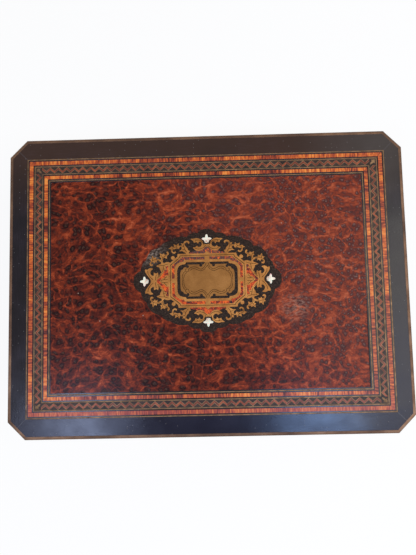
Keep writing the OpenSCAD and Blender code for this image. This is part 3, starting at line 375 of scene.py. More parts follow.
class Burl:
    """Thuya burr: crowds of small dark eyes, parted by bright grain that flows round them.

    coordinates is the function that gives a point's place along and across the veneer."""

    def __init__(self, name, coordinates):
        s = self.s = Shader(name, Specular_IOR_Level=0.07)
        self.along, self.across = coordinates(s)
        self.flat = s.combine(self.along, self.across, 0.0)
        wide = s.centred(s.noise(self.flat, WIDE_WARP, 1, colour=True))
        fine = s.centred(s.noise(self.flat, FINE_WARP, 1, colour=True))
        self.place = self.moved(s.scaled(wide, GRAIN_WIDE_SHIFT), s.scaled(fine, GRAIN_FINE_SHIFT))
        self.eye_place = self.moved(s.scaled(wide, EYE_WIDE_SHIFT), s.scaled(fine, EYE_FINE_SHIFT))
        self.squashed = s.scaled(self.place, CROWD_STRETCH)
        self.ragged = s.times(s.ripple(self.flat, RAGGED_EDGE, 2), RAGGEDNESS)
        # a slanting ramp, bent by noise, that rises along and across the veneer; the burr's painted
        # reflection haze and painted shade follow it
        drift = s.times(s.ripple(self.flat, HAZE_RAMP_BEND_SIZE, 2), HAZE_RAMP_BEND)
        self.haze_ramp = s.add(s.add(self.along, s.times(self.across, 0.9)), drift)
        self.small_side = s.smooth(s.minus(self.along, s.times(drift, 0.5)), 0, 70)

    def moved(self, far, near):
        """The points, moved by two vectors."""
        return self.s.vector("ADD", self.s.vector("ADD", self.flat, far), near)

    def crowds(self):
        """Distance to the nearest vein, and masks of the crowds of eyes and of their rims."""
        s = self.s
        to_vein = s.cells(self.squashed, CROWD_CELL, feature="DISTANCE_TO_EDGE", dimensions="2D")
        to_vein = s.add(to_vein, self.ragged)
        vein_width = s.span(s.noise(self.place, 25, 2), 0.46, 0.66, -0.02, 0.36)
        inside = s.minus(to_vein, vein_width)
        to_middle = s.add(s.cells(self.squashed, CROWD_CELL, dimensions="2D"), self.ragged)
        crowd = s.times(s.smooth(inside, -0.06, 0.18), s.smooth(to_middle, 0.75, 0.50))
        chosen = s.smooth(cell_lot(s, self.squashed, CROWD_CELL), 0.05, 0.20)
        crowd = s.times(crowd, s.span(chosen, 0, 1, 0.3, 1))
        return to_vein, crowd, s.times(crowd, s.smooth(inside, 0.30, 0.10))

    def eyes_of(self, size, crowd):
        """Masks of the eyes and of their cores, for eyes of one size."""
        s = self.s
        away = s.add(s.cells(self.eye_place, size, dimensions="2D"), self.ragged)
        there = s.smooth(cell_lot(s, self.eye_place, size, 1), 0.10, 0.45)
        shown = s.times(there, s.span(crowd, 0, 1, 0.5, 1))
        return s.times(s.smooth(away, 0.58, 0.36), shown), s.times(s.smooth(away, 0.34, 0.14), shown)

    def eyes(self, crowd):
        """Masks of all eyes and of their cores; they are smaller on the right."""
        large_eye, large_core = self.eyes_of(LARGE_EYE_CELL, crowd)
        small_eye, small_core = self.eyes_of(SMALL_EYE_CELL, crowd)
        eye = self.s.mixed(self.small_side, large_eye, small_eye)
        return eye, self.s.mixed(self.small_side, large_core, small_core)

    def grain(self):
        """Fine threads and broad ribbons, about 0, drawn out along the panel and bent round the crowds."""
        s = self.s
        swell = s.smooth(s.cells(self.squashed, CROWD_CELL, dimensions="2D"), 0.8, 0.0)
        place_x, place_y, _ = s.split(self.place)
        flow = s.combine(s.times(place_x, 0.32), s.add(place_y, s.times(swell, 4.0)), 0.0)
        return s.ripple(flow, THREAD, 2, 0.6), s.ripple(flow, RIBBON, 3, 0.55)

    def tone(self, to_vein, crowd, rim, eye, threads, ribbons):
        """All layers together as a tone from 0 to 1, with painted shade towards the left and front."""
        s = self.s
        mottle = s.ripple(self.eye_place, MOTTLE, 3, 0.65)
        streaks = s.times(ribbons, s.span(crowd, 0, 1, 1.0, 0.5))
        vein_line = s.smooth(s.math("ABSOLUTE", to_vein), 0.09, 0.0)
        vein_line = s.times(vein_line, s.smooth(s.noise(self.place, 11, 1), 0.36, 0.62))
        tone = s.add(MIDDLE_TONE, s.times(s.ripple(self.place, 17, 2), TONE_OF_PATCHES))
        tone = s.add(tone, streaks)
        tone = s.add(tone, s.times(vein_line, TONE_OF_VEINS))
        tone = s.add(tone, s.times(threads, TONE_OF_THREADS))
        tone = s.add(tone, s.times(mottle, TONE_OF_MOTTLE))
        tone = s.minus(tone, s.times(crowd, TONE_OF_CROWDS))
        tone = s.minus(tone, s.times(rim, TONE_OF_RIMS))
        tone = s.minus(tone, s.times(eye, TONE_OF_EYES))
        # painted shade: darker towards the left and front of the lid
        painted_shade = s.smooth(self.haze_ramp, -100, 60, TONE_OF_PAINTED_SHADE, 0.0)
        return s.math("ADD", tone, painted_shade, clamp=True)

    def coloured(self, tone, hazy_side, core, grit, dust):
        """The tone's colour. It has a painted reflection haze that grows towards the right and back, with
        purpler darks and paler wax in the eyes' pores on that side, and dust on top.
        """
        s = self.s
        colour = s.ramp(tone, BURL_TONES)
        # painted reflection haze, paler towards the right and back
        colour = s.blend(s.times(hazy_side, 0.14), colour, PAINTED_HAZE)
        colour = s.blend(s.times(hazy_side, s.smooth(tone, 0.66, 0.40, 0, 0.35)), colour, HAZY_SIDE_DARKS)
        wax = s.blend(hazy_side, EYE_WAX, HAZY_SIDE_WAX)
        colour = s.blend(s.times(core, s.span(grit, 0, 1, 0.05, 0.70)), colour, wax)
        return s.blend(s.times(dust, 0.6), colour, BURL_DUST)

    def worn(self, colour, centre, radius):
        """The same with a rubbed spot, and with the dark gap where the panel has shrunk at its right."""
        s = self.s
        rubbed = rubbed_patch(s, self.flat, centre, radius)
        colour = s.blend(s.times(rubbed, 0.38), colour, RUBBED_BURL)
        edge = BURL_HALF.x / MM
        start, full = SHRUNK_EDGE
        shrunk = s.smooth(self.along, edge - start, edge - full)
        return s.blend(s.times(shrunk, s.smooth(self.across, 0, -40)), colour, SHRUNK_GAP)


def burl(name, coordinates, wear=None):
    """The burr's material; wear is the (centre, radius) of a rubbed spot on the lid's panel."""
    wood = Burl(name, coordinates)
    s = wood.s
    to_vein, crowd, rim = wood.crowds()
    eye, core = wood.eyes(crowd)
    threads, ribbons = wood.grain()
    tone = wood.tone(to_vein, crowd, rim, eye, threads, ribbons)
    # the side with the burr's painted reflection haze; its polish is also rougher there
    hazy_side = s.smooth(wood.haze_ramp, -40, 120)
    grit = s.smooth(s.noise(wood.flat, PORE_CELL, 2), 0.38, 0.62)
    dust = specks(s, wood.flat, size=9, share=0.015)
    colour = wood.coloured(tone, hazy_side, core, grit, dust)
    if wear:
        colour = wood.worn(colour, *wear)
    relief = s.minus(s.times(threads, 0.5), s.times(core, s.add(0.4, grit)))
    s.bump(relief, 0.05 * MM, strength=0.5)
    roughness = s.add(s.span(hazy_side, 0, 1, 0.28, 0.40), s.times(threads, 0.1))
    return s.finish(colour, s.add(roughness, s.times(dust, 0.3)))


def border_colour(s, colour, half):
    """Ebony of the lid's border, with painted reflections: brown at the back, grey at the back right and
    blue-black towards the front right; and with mitres.
    """
    drift = s.times(s.ripple(s.mm, 40, 2), 60)
    # painted reflections: warm brown at the back, grey at the back right
    back = s.smooth(s.add(s.y, drift), 50, 120)
    colour = s.blend(s.times(back, 0.31), colour, BACK_BROWN_REFLECTION)
    grey_reflection_share = s.times(back, s.smooth(s.x, 60, 160, 0.0, 0.34))
    colour = s.blend(grey_reflection_share, colour, BACK_RIGHT_GREY_REFLECTION)
    # painted reflection: blue-black across the front, strongest at the right
    to_front_right = s.minus(s.times(s.x, 0.3), s.y)
    colour = s.blend(s.smooth(to_front_right, 40, 105, 0.0, 0.75), colour, FRONT_BLUE_REFLECTION)
    seam = s.smooth(s.math("ABSOLUTE", mitre_offset(s, half)), 0.5, 0.1)
    return s.blend(s.times(seam, 0.4), colour, MITRE_SEAM)


def ebony(name, half=None):
    """Ebonised wood with fine grain along each strip and dust; half is that of a frame on the lid."""
    s = Shader(name, Specular_IOR_Level=0.18)
    along, across = run_coordinates(s, half)
    lengthwise = s.combine(s.times(along, 0.05), across, s.times(s.z, 0.7))
    grain = s.noise(lengthwise, 0.6, 3, 0.65)
    cloud = s.noise(s.mm, 22, 3)
    tone = s.add(s.times(grain, 0.5), s.times(cloud, 0.5))
    colour = s.ramp(tone, EBONY_TONES)
    if half is not None:
        colour = border_colour(s, colour, half)
    dust = specks(s, s.mm, size=4.5, share=0.16)
    colour = s.blend(s.times(dust, 0.5), colour, EBONY_DUST)
    s.bump(grain, 0.03 * MM, strength=0.5)
    roughness = s.span(cloud, 0.3, 0.7, 0.15, 0.26)
    return s.finish(colour, s.add(roughness, s.times(dust, 0.3)))


def zigzag_ebony():
    """Ebonised triangles of the zigzag band, worn brown."""
    s = Shader("zigzag_ebony", Specular_IOR_Level=0.15, Roughness=0.42)
    grain = s.noise(s.mm, 0.8, 3, 0.65)
    cloud = s.noise(s.mm, 9, 2)
    colour = s.ramp(s.add(s.times(grain, 0.5), s.times(cloud, 0.5)), ZIGZAG_EBONY_TONES)
    s.bump(grain, 0.03 * MM, strength=0.5)
    return s.finish(colour)


def ground_ebony():
    """Ebonised ground of the medallion: dull, finely crazed and rubbed pale at its upper left edge."""
    s = Shader("medallion_ebony", Specular_IOR_Level=0.07, Roughness=0.45)
    grain = s.noise(s.mm, 1.3, 4, 0.7)
    colour = s.ramp(grain, GROUND_EBONY_TONES)
    colour = s.blend(s.times(rubbed_patch(s, s.mm, *GROUND_WEAR), 0.62), colour, RUBBED_GROUND)
    s.bump(grain, 0.05 * MM, strength=0.6)
    return s.finish(colour)


def crossband(name, half=None):
    """Bright crossbanding: the grain runs across the strip, in lengths of different tone.

    half is that of a frame on the lid, whose front run has a painted sheen that makes it darker and redder."""
    s = Shader(name, Specular_IOR_Level=0.2)
    along, across = run_coordinates(s, half)
    drift = s.times(s.noise(s.mm, 60, 1), 30)
    lot = s.lot(s.math("FLOOR", s.times(s.add(along, drift), 1 / CROSSBAND_LENGTH)))
    crosswise = s.combine(along, s.times(across, 0.15), 0.0)
    lines = s.ripple(crosswise, 1.3, 2, 0.6)
    bands = s.ripple(crosswise, 8.0, 1)
    tone = s.add(0.58, s.times(s.minus(lot, 0.5), 0.16))
    tone = s.add(tone, s.add(s.times(lines, 1.0), s.times(bands, 0.60)))
    colour = s.ramp(tone, CROSSBAND_TONES)
    # painted sheen: the front run of the lid's top turns darker and pinker
    on_top = s.smooth(s.z, LID_TOP / MM - 4, LID_TOP / MM - 2)
    painted_front_sheen = s.times(on_top, s.smooth(s.y, -90, -100, 0, 0.36))
    colour = s.blend(painted_front_sheen, colour, FRONT_CROSSBAND_SHEEN)
    s.bump(lines, 0.03 * MM, strength=0.4)
    return s.finish(colour, s.span(lines, -0.2, 0.2, 0.40, 0.30))


def stripe():
    """Red-brown zigzag stripe whose pieces differ in tone."""
    s = Shader("stripe_veneer", Specular_IOR_Level=0.2, Roughness=0.36)
    along, _ = strip_coordinates(s, ZIGZAG_HALF)
    lot = s.lot(s.math("FLOOR", s.times(along, 1 / ZIGZAG_ARM)))
    grain = s.ripple(s.mm, 1.1, 3, 0.65)
    tone = s.add(s.add(0.25, s.times(lot, 0.5)), s.times(grain, 0.7))
    colour = s.ramp(tone, STRIPE_TONES)
    s.bump(grain, 0.03 * MM, strength=0.4)
    return s.finish(colour)


def timber():
    """Plain brown carcase wood with straight grain."""
    s = Shader("carcase_wood", Specular_IOR_Level=0.3)
    grain = s.noise(s.scaled(s.mm, (0.05, 0.3, 1)), 1.6, 5, 0.62)
    rings = s.noise(s.scaled(s.mm, (0.03, 0.2, 0.6)), 9, 3)
    colour = s.ramp(s.add(s.times(grain, 0.5), s.times(rings, 0.5)), TIMBER_TONES)
    s.bump(grain, 0.08 * MM, strength=0.6)
    return s.finish(colour, s.span(grain, 0.3, 0.7, 0.62, 0.5))


# ---------- metal, shell and pearl ----------

STEEL_TONES = [(0.3, rgb(120, 118, 116)), (0.7, rgb(190, 188, 185))]
SHELL_TONES = [
    (0.38, rgb(40, 16, 14)),
    (0.46, rgb(112, 36, 18)),
    (0.53, rgb(192, 68, 20)),
    (0.64, rgb(234, 106, 30)),
]
PEARL_TONES = [
    (0.34, rgb(200, 226, 204)),
    (0.45, rgb(244, 236, 208)),
    (0.55, rgb(250, 238, 200)),
    (0.64, rgb(238, 188, 180)),
]
TARNISH_SPOT = rgb(70, 45, 28)
GROOVE_WAX = rgb(38, 24, 16)
CLOUDED_SHELL = rgb(64, 50, 46)
PEARL_STAIN = rgb(176, 118, 88)
ENGRAVED = (0.04, 0.12)  # mm under the lid's top at which wax starts to fill a groove, and fills it
STAIN_INWARD = 1.6  # mm from a lily's middle inwards, about where its stain begins


def brass(name, tones, roughness, tarnish_size=9.0, engraved=False, metallic=1.0):
    """Patinated brass with clouds of tarnish, fine rubbing marks and dark specks.

    tones are its dull, middle and bright colours; wax darkens the grooves of an engraved piece."""
    s = Shader(name, Metallic=metallic, Specular_IOR_Level=0.2)
    cloud = s.noise(s.mm, tarnish_size, 4, 0.6)
    rubbed = s.noise(s.scaled(s.mm, (0.25, 1, 1)), 0.5, 3, 0.6)
    tone = s.add(s.times(cloud, 0.75), s.times(rubbed, 0.25))
    dull, middle, bright = tones
    colour = s.ramp(tone, [(0.32, rgb(*dull)), (0.5, rgb(*middle)), (0.7, rgb(*bright))])
    spots = s.smooth(s.cells(s.mm, 2.2), 0.14, 0.05)
    colour = s.blend(s.times(spots, 0.5), colour, TARNISH_SPOT)
    if engraved:
        start, full = ENGRAVED
        sunk = s.smooth(s.z, LID_TOP / MM - start, LID_TOP / MM - full)
        colour = s.blend(s.times(sunk, 0.92), colour, GROOVE_WAX)
    s.bump(rubbed, 0.02 * MM, strength=0.5)
    return s.finish(colour, s.span(cloud, 0.3, 0.7, roughness + 0.1, roughness - 0.05))


def steel():
    """Worn steel with fine marks."""
    s = Shader("steel", Metallic=1.0)
    marks = s.noise(s.scaled(s.mm, (0.1, 1, 1)), 0.4, 3, 0.6)
    cloud = s.noise(s.mm, 6, 3)
    colour = s.ramp(s.add(s.times(marks, 0.5), s.times(cloud, 0.5)), STEEL_TONES)
    s.bump(marks, 0.02 * MM, strength=0.5)
    return s.finish(colour, s.span(cloud, 0.3, 0.7, 0.42, 0.3))


def tortoiseshell():
    """Red-backed tortoiseshell: an orange-red glow broken by slanting dark streaks, clouded at the back."""
    s = Shader("tortoiseshell", Specular_IOR_Level=0.25, Roughness=0.3)
    slanting = s.combine(s.add(s.x, s.times(s.y, 0.6)), s.minus(s.times(s.y, 0.5), s.times(s.x, 0.2)), 0.0)
    streaks = s.noise(slanting, 1.3, 3, 0.6)
    patches = s.noise(s.mm, 7, 1)
    colour = s.ramp(s.add(s.times(streaks, 0.65), s.times(patches, 0.35)), SHELL_TONES)
    behind = s.smooth(s.add(s.y, s.times(s.ripple(s.mm, 6, 2), 16)), 9, 20)
    clouded = s.times(behind, s.smooth(streaks, 0.66, 0.50))
    colour = s.blend(s.times(clouded, 0.85), colour, CLOUDED_SHELL)
    return s.finish(colour)


def pearl():
    """Mother-of-pearl with pink and green lights, stained at the inner end of each lily."""
    s = Shader("mother_of_pearl", Specular_IOR_Level=0.5, Coat_Weight=0.3, Coat_Roughness=0.1, Roughness=0.25)
    lights = s.noise(s.mm, 1.7, 2, distortion=1.6)
    colour = s.ramp(lights, PEARL_TONES)
    inner_x = MEDALLION_LILY.x / MM - STAIN_INWARD
    inner_y = MEDALLION_LILY.y / MM - STAIN_INWARD
    across = s.math("ABSOLUTE", s.minus(s.y, MEDALLION_CENTRE.y / MM))
    inside_x = s.smooth(s.math("ABSOLUTE", s.x), inner_x + 2.2, inner_x - 1.0)
    inside_y = s.smooth(across, inner_y + 2.2, inner_y - 1.0)
    stain = s.times(s.times(inside_x, inside_y), s.smooth(lights, 0.36, 0.56))
    colour = s.blend(s.times(stain, 0.8), colour, PEARL_STAIN)
    return s.finish(colour)


# ---------- cloth ----------

VELVET_TONES = [(0.3, rgb(66, 10, 26)), (0.5, rgb(92, 16, 36)), (0.7, rgb(122, 28, 50))]
VELVET_SHEEN = rgb(225, 130, 150)
SATIN_TONES = [(0.3, rgb(118, 22, 46)), (0.5, rgb(146, 34, 60)), (0.7, rgb(172, 52, 78))]


def velvet():
    """Plum velvet: short pile with brushed lighter places."""
    s = Shader("velvet", Roughness=0.9, Specular_IOR_Level=0.1, Sheen_Weight=0.5, Sheen_Roughness=0.35)
    s.bsdf.inputs["Sheen Tint"].default_value = VELVET_SHEEN
    pile = s.noise(s.mm, 0.35, 2, 0.6)
    brushed = s.noise(s.scaled(s.mm, (1, 1, 0.7)), 12, 3, 0.6)
    colour = s.ramp(s.add(s.times(pile, 0.35), s.times(brushed, 0.65)), VELVET_TONES)
    s.bump(pile, 0.25 * MM, strength=0.7)
    return s.finish(colour)


def satin():
    """Crimson satin: a fine warp and soft clouds."""
    s = Shader("satin", Roughness=0.38, Specular_IOR_Level=0.5, Sheen_Weight=0.3)
    warp = s.noise(s.scaled(s.mm, (1, 0.05, 0.05)), 0.3, 3, 0.6)
    cloud = s.noise(s.mm, 16, 3)
    colour = s.ramp(s.add(s.times(warp, 0.4), s.times(cloud, 0.6)), SATIN_TONES)
    s.bump(warp, 0.06 * MM, strength=0.5)
    return s.finish(colour)


# ---------- materials of the pieces ----------

# dull, middle and bright tones of each brass
STRINGING = ((76, 56, 40), (110, 84, 58), (144, 110, 76))
BEAD = ((66, 48, 38), (98, 72, 54), (128, 98, 74))
MEDALLION = ((112, 72, 36), (144, 96, 50), (176, 124, 68))
PLATE = ((106, 70, 36), (124, 84, 44), (144, 100, 56))
HARDWARE = ((150, 116, 60), (190, 152, 84), (214, 178, 106))
SCREWS = ((150, 112, 56), (184, 144, 78), (208, 170, 100))


def make_materials():
    """One material for each slot of the record."""
    return {
        "carcase_wood": timber(),
        "ebonised_wood": ebony("ebonised_wood"),
        "burl_veneer": burl("burl_veneer", top_coordinates, PANEL_WEAR),
        "crossband_veneer": crossband("crossband_veneer"),
        "stripe_veneer": stripe(),
        "brass_stringing": brass("brass_stringing", STRINGING, 0.5, tarnish_size=6.0, metallic=0.45),
        "brass_bead": brass("brass_bead", BEAD, 0.5, tarnish_size=22.0, metallic=0.5),
        "medallion_brass": brass("medallion_brass", MEDALLION, 0.4, engraved=True),
        "tortoiseshell": tortoiseshell(),
        "mother_of_pearl": pearl(),
        "velvet": velvet(),
        "satin": satin(),
        "hardware_brass": brass("hardware_brass", HARDWARE, 0.3),
        "screw_brass": brass("screw_brass", SCREWS, 0.3),
        "steel": steel(),
    }


def dress_cad_nodes(materials):
    """Gives each CAD node the material of its slot, or its own where its strips need their direction."""
    side_burl = burl("burl_sides", face_coordinates)
    own = {
        "lid_border": ebony("ebonised_border", STRING_HALF),
        "lid_outer_crossband": crossband("outer_crossband", OUTER_CROSS_HALF),
        "lid_inner_crossband": crossband("inner_crossband", INNER_CROSS_HALF),
        "zigzag_ground": zigzag_ebony(),
        "medallion_ground": ground_ebony(),
        "case_side_burl": side_burl,
        "lid_side_burl": side_burl,
        "cartouche_plate": brass("plate_brass", PLATE, 0.4, tarnish_size=10.0, engraved=True),
    }
    for name, node in nodes.items():
        for slot in node.material_slots:
            slot.material = own.get(name) or materials[slot.material.name.split(".")[0]]


# ---------- edges of the CAD nodes ----------

# widths in mm of the pieces whose edges are broken more than those of the inlays
BEVELS = {
    "plinth": 0.5,
    "lid_edge_bead": 0.15,
    "escutcheon": 0.15,
    "hinge_case_leaves": 0.2,
    "hinge_lid_leaves": 0.2,
    "link_plate": 0.2,
    "lock_case": 0.2,
    "lock_cover": 0.2,
}
INLAY_BEVEL = 0.05
SHARP_ANGLE = math.radians(35)
WELD_REACH = 0.002 * MM


def soften_edges():
    """Welds each node's faces and breaks its sharp edges a little, so that they catch the light."""
    for name, node in nodes.items():
        weld = node.modifiers.new("weld", "WELD")
        weld.merge_threshold = WELD_REACH
        bevel = node.modifiers.new("bevel", "BEVEL")
        bevel.width = BEVELS.get(name, INLAY_BEVEL) * MM
        bevel.segments = 2
        bevel.limit_method = "ANGLE"
        bevel.angle_limit = SHARP_ANGLE


# ---------- padded pieces ----------

SIM_FRAMES = 20
SIM_PRESSURE = 4.0
SIM_REACH = 2.0 * MM  # the furthest that a point may swell
FACE_DROP = 2.1 * MM  # room for the swelling, under the CAD pad's face
RIM_DROP = 1.6 * MM  # how much nearer to the back the face's border starts

CUSHION_STEPS = (96, 70)
CUSHION_ROLL = 5  # steps from its border to its sewn line
CUSHION_STITCH = 0.6 * MM
STEPS_PER_TUFT = 12
QUILT_TUFTS = (10, 7)
QUILT_STITCH = 1.7 * MM
BUTTON_RADIUS = 3.4 * MM
BUTTON_DOME = 0.42  # height of a button as a share of its radius

LINING_ENDS = 5  # points on its rounded free end
LINING_STEPS = 14  # from there to its hidden end
LINING_COLUMNS = 36
LINING_THIN = 0.72  # share of its thickness at its ends
LINING_SWELL = 0.28  # share that is added between them
LINING_FULLNESS = 0.6  # the smaller, the sooner it swells
SAME_POINT = 0.001 * MM


class Pad:
    """A closed pad under construction: a face of even steps, a back and four sides.

    face_z is the height that the face starts from and back_z that of the back."""

    def __init__(self, low, high, columns, rows, face_z, back_z):
        self.columns = columns
        self.rows = rows
        self.low = low
        self.high = high
        self.towards_back = 1 if back_z > face_z else -1
        self.mesh = bmesh.new()
        border_z = face_z + self.towards_back * RIM_DROP
        self.face = self.layer(lambda i, j: border_z if self.on_border(i, j) else face_z)
        self.back = self.layer(lambda i, j: back_z)
        self.close()

    def on_border(self, i, j):
        """Whether a point lies on the edge of its layer."""
        return i in (0, self.columns) or j in (0, self.rows)

    def layer(self, height):
        """Rows of columns of new points."""
        step_x = (self.high.x - self.low.x) / self.columns
        step_y = (self.high.y - self.low.y) / self.rows
        return [
            [
                self.mesh.verts.new((self.low.x + step_x * i, self.low.y + step_y * j, height(i, j)))
                for i in range(self.columns + 1)
            ]
            for j in range(self.rows + 1)
        ]

    def close(self):
        """Faces of the front, the back and the sides between them."""
        for j in range(self.rows):
            for i in range(self.columns):
                for layer in (self.face, self.back):
                    self.mesh.faces.new((layer[j][i], layer[j][i + 1], layer[j + 1][i + 1], layer[j + 1][i]))
        border = [(i, 0) for i in range(self.columns)]
        border += [(self.columns, j) for j in range(self.rows)]
        border += [(i, self.rows) for i in range(self.columns, 0, -1)]
        border += [(0, j) for j in range(self.rows, 0, -1)]
        for (i, j), (k, m) in zip(border, border[1:] + border[:1]):
            self.mesh.faces.new((self.face[j][i], self.face[m][k], self.back[m][k], self.back[j][i]))
        bmesh.ops.recalc_face_normals(self.mesh, faces=self.mesh.faces)

    def finish(self, name, sewn, stitch):
        """Adds the object, swells its face between its sewn points and draws those in by stitch."""
        self.mesh.verts.index_update()
        inner = [(i, j) for j in range(1, self.rows) for i in range(1, self.columns)]
        seam = [self.face[j][i].index for i, j in inner if sewn(i, j)]
        border = [
            self.face[j][i].index
            for j in range(self.rows + 1)
            for i in range(self.columns + 1)
            if self.on_border(i, j)
        ]
        fixed = seam + border + [point.index for row in self.back for point in row]
        piece = add_object(name, self.mesh)
        inflate(piece, fixed)
        for index in seam:
            piece.data.vertices[index].co.z += self.towards_back * stitch
        shade_smooth(piece)
        subdivide(piece)
        return piece


def add_object(name, mesh):
    """A new object from a bmesh."""
    data = bpy.data.meshes.new(name)
    mesh.to_mesh(data)
    mesh.free()
    made = bpy.data.objects.new(name, data)
    bpy.context.scene.collection.objects.link(made)
    return made


def inflate(piece, fixed):
    """Swells the free points by a cloth simulation; no point moves further than SIM_REACH."""
    piece.vertex_groups.new(name="fixed").add(fixed, 1.0, "REPLACE")
    cloth = piece.modifiers.new("cloth", "CLOTH")
    cloth.settings.vertex_group_mass = "fixed"
    cloth.settings.use_pressure = True
    cloth.settings.uniform_pressure_force = SIM_PRESSURE
    cloth.settings.effector_weights.gravity = 0
    cloth.point_cache.frame_end = SIM_FRAMES
    for frame_number in range(1, SIM_FRAMES + 1):
        bpy.context.scene.frame_set(frame_number)
    swollen = piece.evaluated_get(bpy.context.evaluated_depsgraph_get()).data
    moved = [point.co.copy() for point in swollen.vertices]
    piece.modifiers.remove(cloth)
    bpy.context.scene.frame_set(1)
    for point, end in zip(piece.data.vertices, moved):
        move = end - point.co
        if move.length > 0:
            point.co += move * (SIM_REACH * math.tanh(move.length / SIM_REACH) / move.length)


def shade_smooth(piece):
    """Smooth shading of all faces."""
    for polygon in piece.data.polygons:
        polygon.use_smooth = True


def subdivide(piece):
    """One subdivision."""
    subdivision = piece.modifiers.new("subdivision", "SUBSURF")
    subdivision.levels = 1
    subdivision.render_levels = 1


def settle(piece, body, slot, material, *replaced, fill=None):
    """Puts a soft piece on its body, in its material and in the place of its CAD solid."""
    piece.data.materials.append(material)
    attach(piece, body)
    if replaced:
        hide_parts(*replaced)


def floor_cushion(material):
    """Velvet cushion on the floor of the case, with a rolled border."""
    low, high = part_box("floor_pad")
    columns, rows = CUSHION_STEPS
    pad = Pad(low, high, columns, rows, high.z - FACE_DROP, low.z)

    def sewn(i, j):
        return min(i, j, columns - i, rows - j) == CUSHION_ROLL

    piece = pad.finish("floor_cushion", sewn, CUSHION_STITCH)
    settle(piece, "case", "velvet", material, "floor_pad", fill=0.7)


def on_diamonds(i, j):
    """Whether a point of the quilt lies on one of its slanting seams."""
    return (i + j) % STEPS_PER_TUFT == 0 or (i - j) % STEPS_PER_TUFT == 0


def at_crossing(i, j):
    """Whether it lies where two seams cross."""
    return (i + j) % STEPS_PER_TUFT == 0 and (i - j) % STEPS_PER_TUFT == 0


def lid_quilt(material):
    """Satin quilt under the lid, sewn in diamonds with a covered button at each crossing."""
    low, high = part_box("lid_pad")
    columns, rows = (tufts * STEPS_PER_TUFT for tufts in QUILT_TUFTS)
    pad = Pad(low, high, columns, rows, low.z + FACE_DROP, high.z)
    crossings = [
        pad.face[j][i].co.copy() for j in range(1, rows) for i in range(1, columns) if at_crossing(i, j)
    ]
    piece = pad.finish("lid_quilt", on_diamonds, QUILT_STITCH)
    settle(piece, "lid", "satin", material, "lid_pad", fill=0.8)
    quilt_buttons([place + Vector((0, 0, QUILT_STITCH)) for place in crossings], material)


def quilt_buttons(places, material):
    """Low domed buttons, hanging from the quilt's seams."""
    mesh = bmesh.new()
    for place in places:
        made = bmesh.ops.create_uvsphere(mesh, u_segments=16, v_segments=8, radius=BUTTON_RADIUS)
        bmesh.ops.scale(mesh, vec=(1, 1, BUTTON_DOME), verts=made["verts"])
        bmesh.ops.translate(mesh, vec=place, verts=made["verts"])
    buttons = add_object("lid_quilt_buttons", mesh)
    shade_smooth(buttons)
    settle(buttons, "lid", "satin", material)


def lining_profile(height, thickness):
    """Points (up, thick) of a lining's cross-section: a rounded free end, then a soft swell."""
    curve = [thickness * (1 - math.cos(math.pi / 2 * k / LINING_ENDS)) for k in range(LINING_ENDS)]
    along = [thickness + (height - thickness) * k / LINING_STEPS for k in range(LINING_STEPS + 1)]
    points = []
    for up in curve + along:
        rounded = math.sqrt(max(0.0, 1 - (1 - min(up / thickness, 1)) ** 2))
        swell = LINING_THIN + LINING_SWELL * max(0.0, math.sin(math.pi * up / height)) ** LINING_FULLNESS
        points.append((up, thickness * rounded * swell))
    return points


def lining_side(mesh, half, distance, turn, ends, thickness):
    """One padded panel: half its length, its distance from the middle, and its turn about Z.

    ends is (free, fixed): the heights of its rounded end and of its hidden one."""
    free, fixed = ends
    height = abs(fixed - free)
    way = 1 if fixed > free else -1
    columns = LINING_COLUMNS
    rows = []
    for up, thick in lining_profile(height, thickness):
        z = free + way * up
        row = []
        for k in range(columns + 1):
            share = 2 * k / columns - 1
            front = Vector((share * (half - thick), -distance + thick, z))
            back = Vector((share * half, -distance, z))
            row.append(tuple(mesh.verts.new(turn @ point) for point in (front, back)))
        rows.append(row)
    for lower, upper in zip(rows, rows[1:]):
        for near, far in zip(range(columns), range(1, columns + 1)):
            for side in (0, 1):
                mesh.faces.new((lower[near][side], lower[far][side], upper[far][side], upper[near][side]))
        for k in (0, columns):
            mesh.faces.new((lower[k][0], upper[k][0], upper[k][1], lower[k][1]))
    for near, far in zip(range(columns), range(1, columns + 1)):
        for row in (rows[0], rows[-1]):
            mesh.faces.new((row[near][0], row[far][0], row[far][1], row[near][1]))


def wall_lining(name, node, body, free_is_high, thickness, material):
    """Velvet lining of four walls, in panels that meet at the corners."""
    low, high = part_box(node)
    ends = (high.z, low.z) if free_is_high else (low.z, high.z)
    mesh = bmesh.new()
    for quarter in range(4):
        half, distance = (high.x, high.y) if quarter % 2 == 0 else (high.y, high.x)
        lining_side(mesh, half, distance, Euler((0, 0, quarter * math.pi / 2)).to_matrix(), ends, thickness)
    bmesh.ops.remove_doubles(mesh, verts=mesh.verts, dist=SAME_POINT)
    bmesh.ops.recalc_face_normals(mesh, faces=mesh.faces)
    piece = add_object(name, mesh)
    shade_smooth(piece)
    settle(piece, body, "velvet", material, node, fill=0.4)


# ---------- stage ----------

WORLD_LIGHT = 0.35
BACKGROUND_RAYS = ("Is Camera Ray", "Is Glossy Ray", "Is Transmission Ray")
LAMPS = [
    # name, place and side in metres, power in watts, colour; the two in front make the sheens on the lid
    ("key", (1.0, -0.1, 1.45), 1.0, 16.0, (1.0, 0.96, 0.90)),
    ("front_left", (-0.50, -0.42, 1.35), 0.25, 5.2, (0.55, 0.66, 1.0)),
    ("front_right", (0.38, -0.44, 1.35), 0.25, 4.8, (0.36, 0.56, 1.0)),
]


def add_lamp(name, place, size, power, colour):
    """A square soft light aimed at the box."""
    data = bpy.data.lights.new(name, "AREA")
    data.shape = "SQUARE"
    data.size = size
    data.energy = power
    data.color = colour
    light = bpy.data.objects.new(name, data)
    light.location = place
    aim = Vector((0, 0, SEAM_Z)) - light.location
    light.rotation_euler = aim.to_track_quat("-Z", "Y").to_euler()
    bpy.context.scene.collection.objects.link(light)


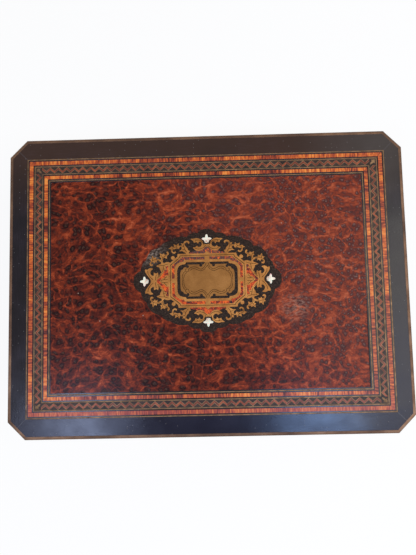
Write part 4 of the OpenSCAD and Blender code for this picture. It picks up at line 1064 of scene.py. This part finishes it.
def seen_by(tree, *rays):
    """1 for the named rays of Light Path, 0 for all others."""
    path = tree.nodes.new("ShaderNodeLightPath")
    seen = path.outputs[rays[0]]
    for ray in rays[1:]:
        either = tree.nodes.new("ShaderNodeMath")
        either.operation = "MAXIMUM"
        tree.links.new(seen, either.inputs[0])
        tree.links.new(path.outputs[ray], either.inputs[1])
        seen = either.outputs[0]
    return seen


def add_world():
    """White world: full strength for what the camera and reflections see, less for its light."""
    world = bpy.data.worlds.new("studio")
    bpy.context.scene.world = world
    world.use_nodes = True
    tree = world.node_tree
    background = tree.nodes["Background"]
    background.inputs["Color"].default_value = (1, 1, 1, 1)
    strength = tree.nodes.new("ShaderNodeMapRange")
    tree.links.new(seen_by(tree, *BACKGROUND_RAYS), strength.inputs["Value"])
    strength.inputs["To Min"].default_value = WORLD_LIGHT
    tree.links.new(strength.outputs[0], background.inputs["Strength"])


FLOOR_HALF = 4.0
FLOOR_GLOW = 0.88
FLOOR_COLOUR = rgb(250, 250, 249)


def add_floor():
    """Pale floor that keeps the box's shadow; it glows a little for the camera, up to white."""
    h = FLOOR_HALF
    mesh = bpy.data.meshes.new("floor")
    mesh.from_pydata([(-h, -h, 0), (h, -h, 0), (h, h, 0), (-h, h, 0)], [], [(0, 1, 2, 3)])
    floor = bpy.data.objects.new("floor", mesh)
    bpy.context.scene.collection.objects.link(floor)
    s = Shader("floor", Roughness=0.8, Specular_IOR_Level=0.1)
    mesh.materials.append(s.finish(FLOOR_COLOUR))
    tree = s.tree
    glow = tree.nodes.new("ShaderNodeEmission")
    share = tree.nodes.new("ShaderNodeMath")
    share.operation = "MULTIPLY"
    tree.links.new(seen_by(tree, *BACKGROUND_RAYS), share.inputs[0])
    share.inputs[1].default_value = FLOOR_GLOW
    mix = tree.nodes.new("ShaderNodeMixShader")
    tree.links.new(share.outputs[0], mix.inputs[0])
    tree.links.new(s.bsdf.outputs[0], mix.inputs[1])
    tree.links.new(glow.outputs[0], mix.inputs[2])
    tree.links.new(mix.outputs[0], tree.nodes["Material Output"].inputs["Surface"])


# ---------- the scene ----------

bpy.context.scene.view_settings.view_transform = "Standard"
add_camera()
add_world()
add_floor()
for lamp in LAMPS:
    add_lamp(*lamp)
materials = make_materials()
dress_cad_nodes(materials)
soften_edges()
floor_cushion(materials["velvet"])
lid_quilt(materials["satin"])
wall_lining("case_lining", "case_wall_lining", "case", True, LINING_THICKNESS, materials["velvet"])
wall_lining("lid_lining", "lid_wall_lining", "lid", False, LINING_THICKNESS, materials["velvet"])
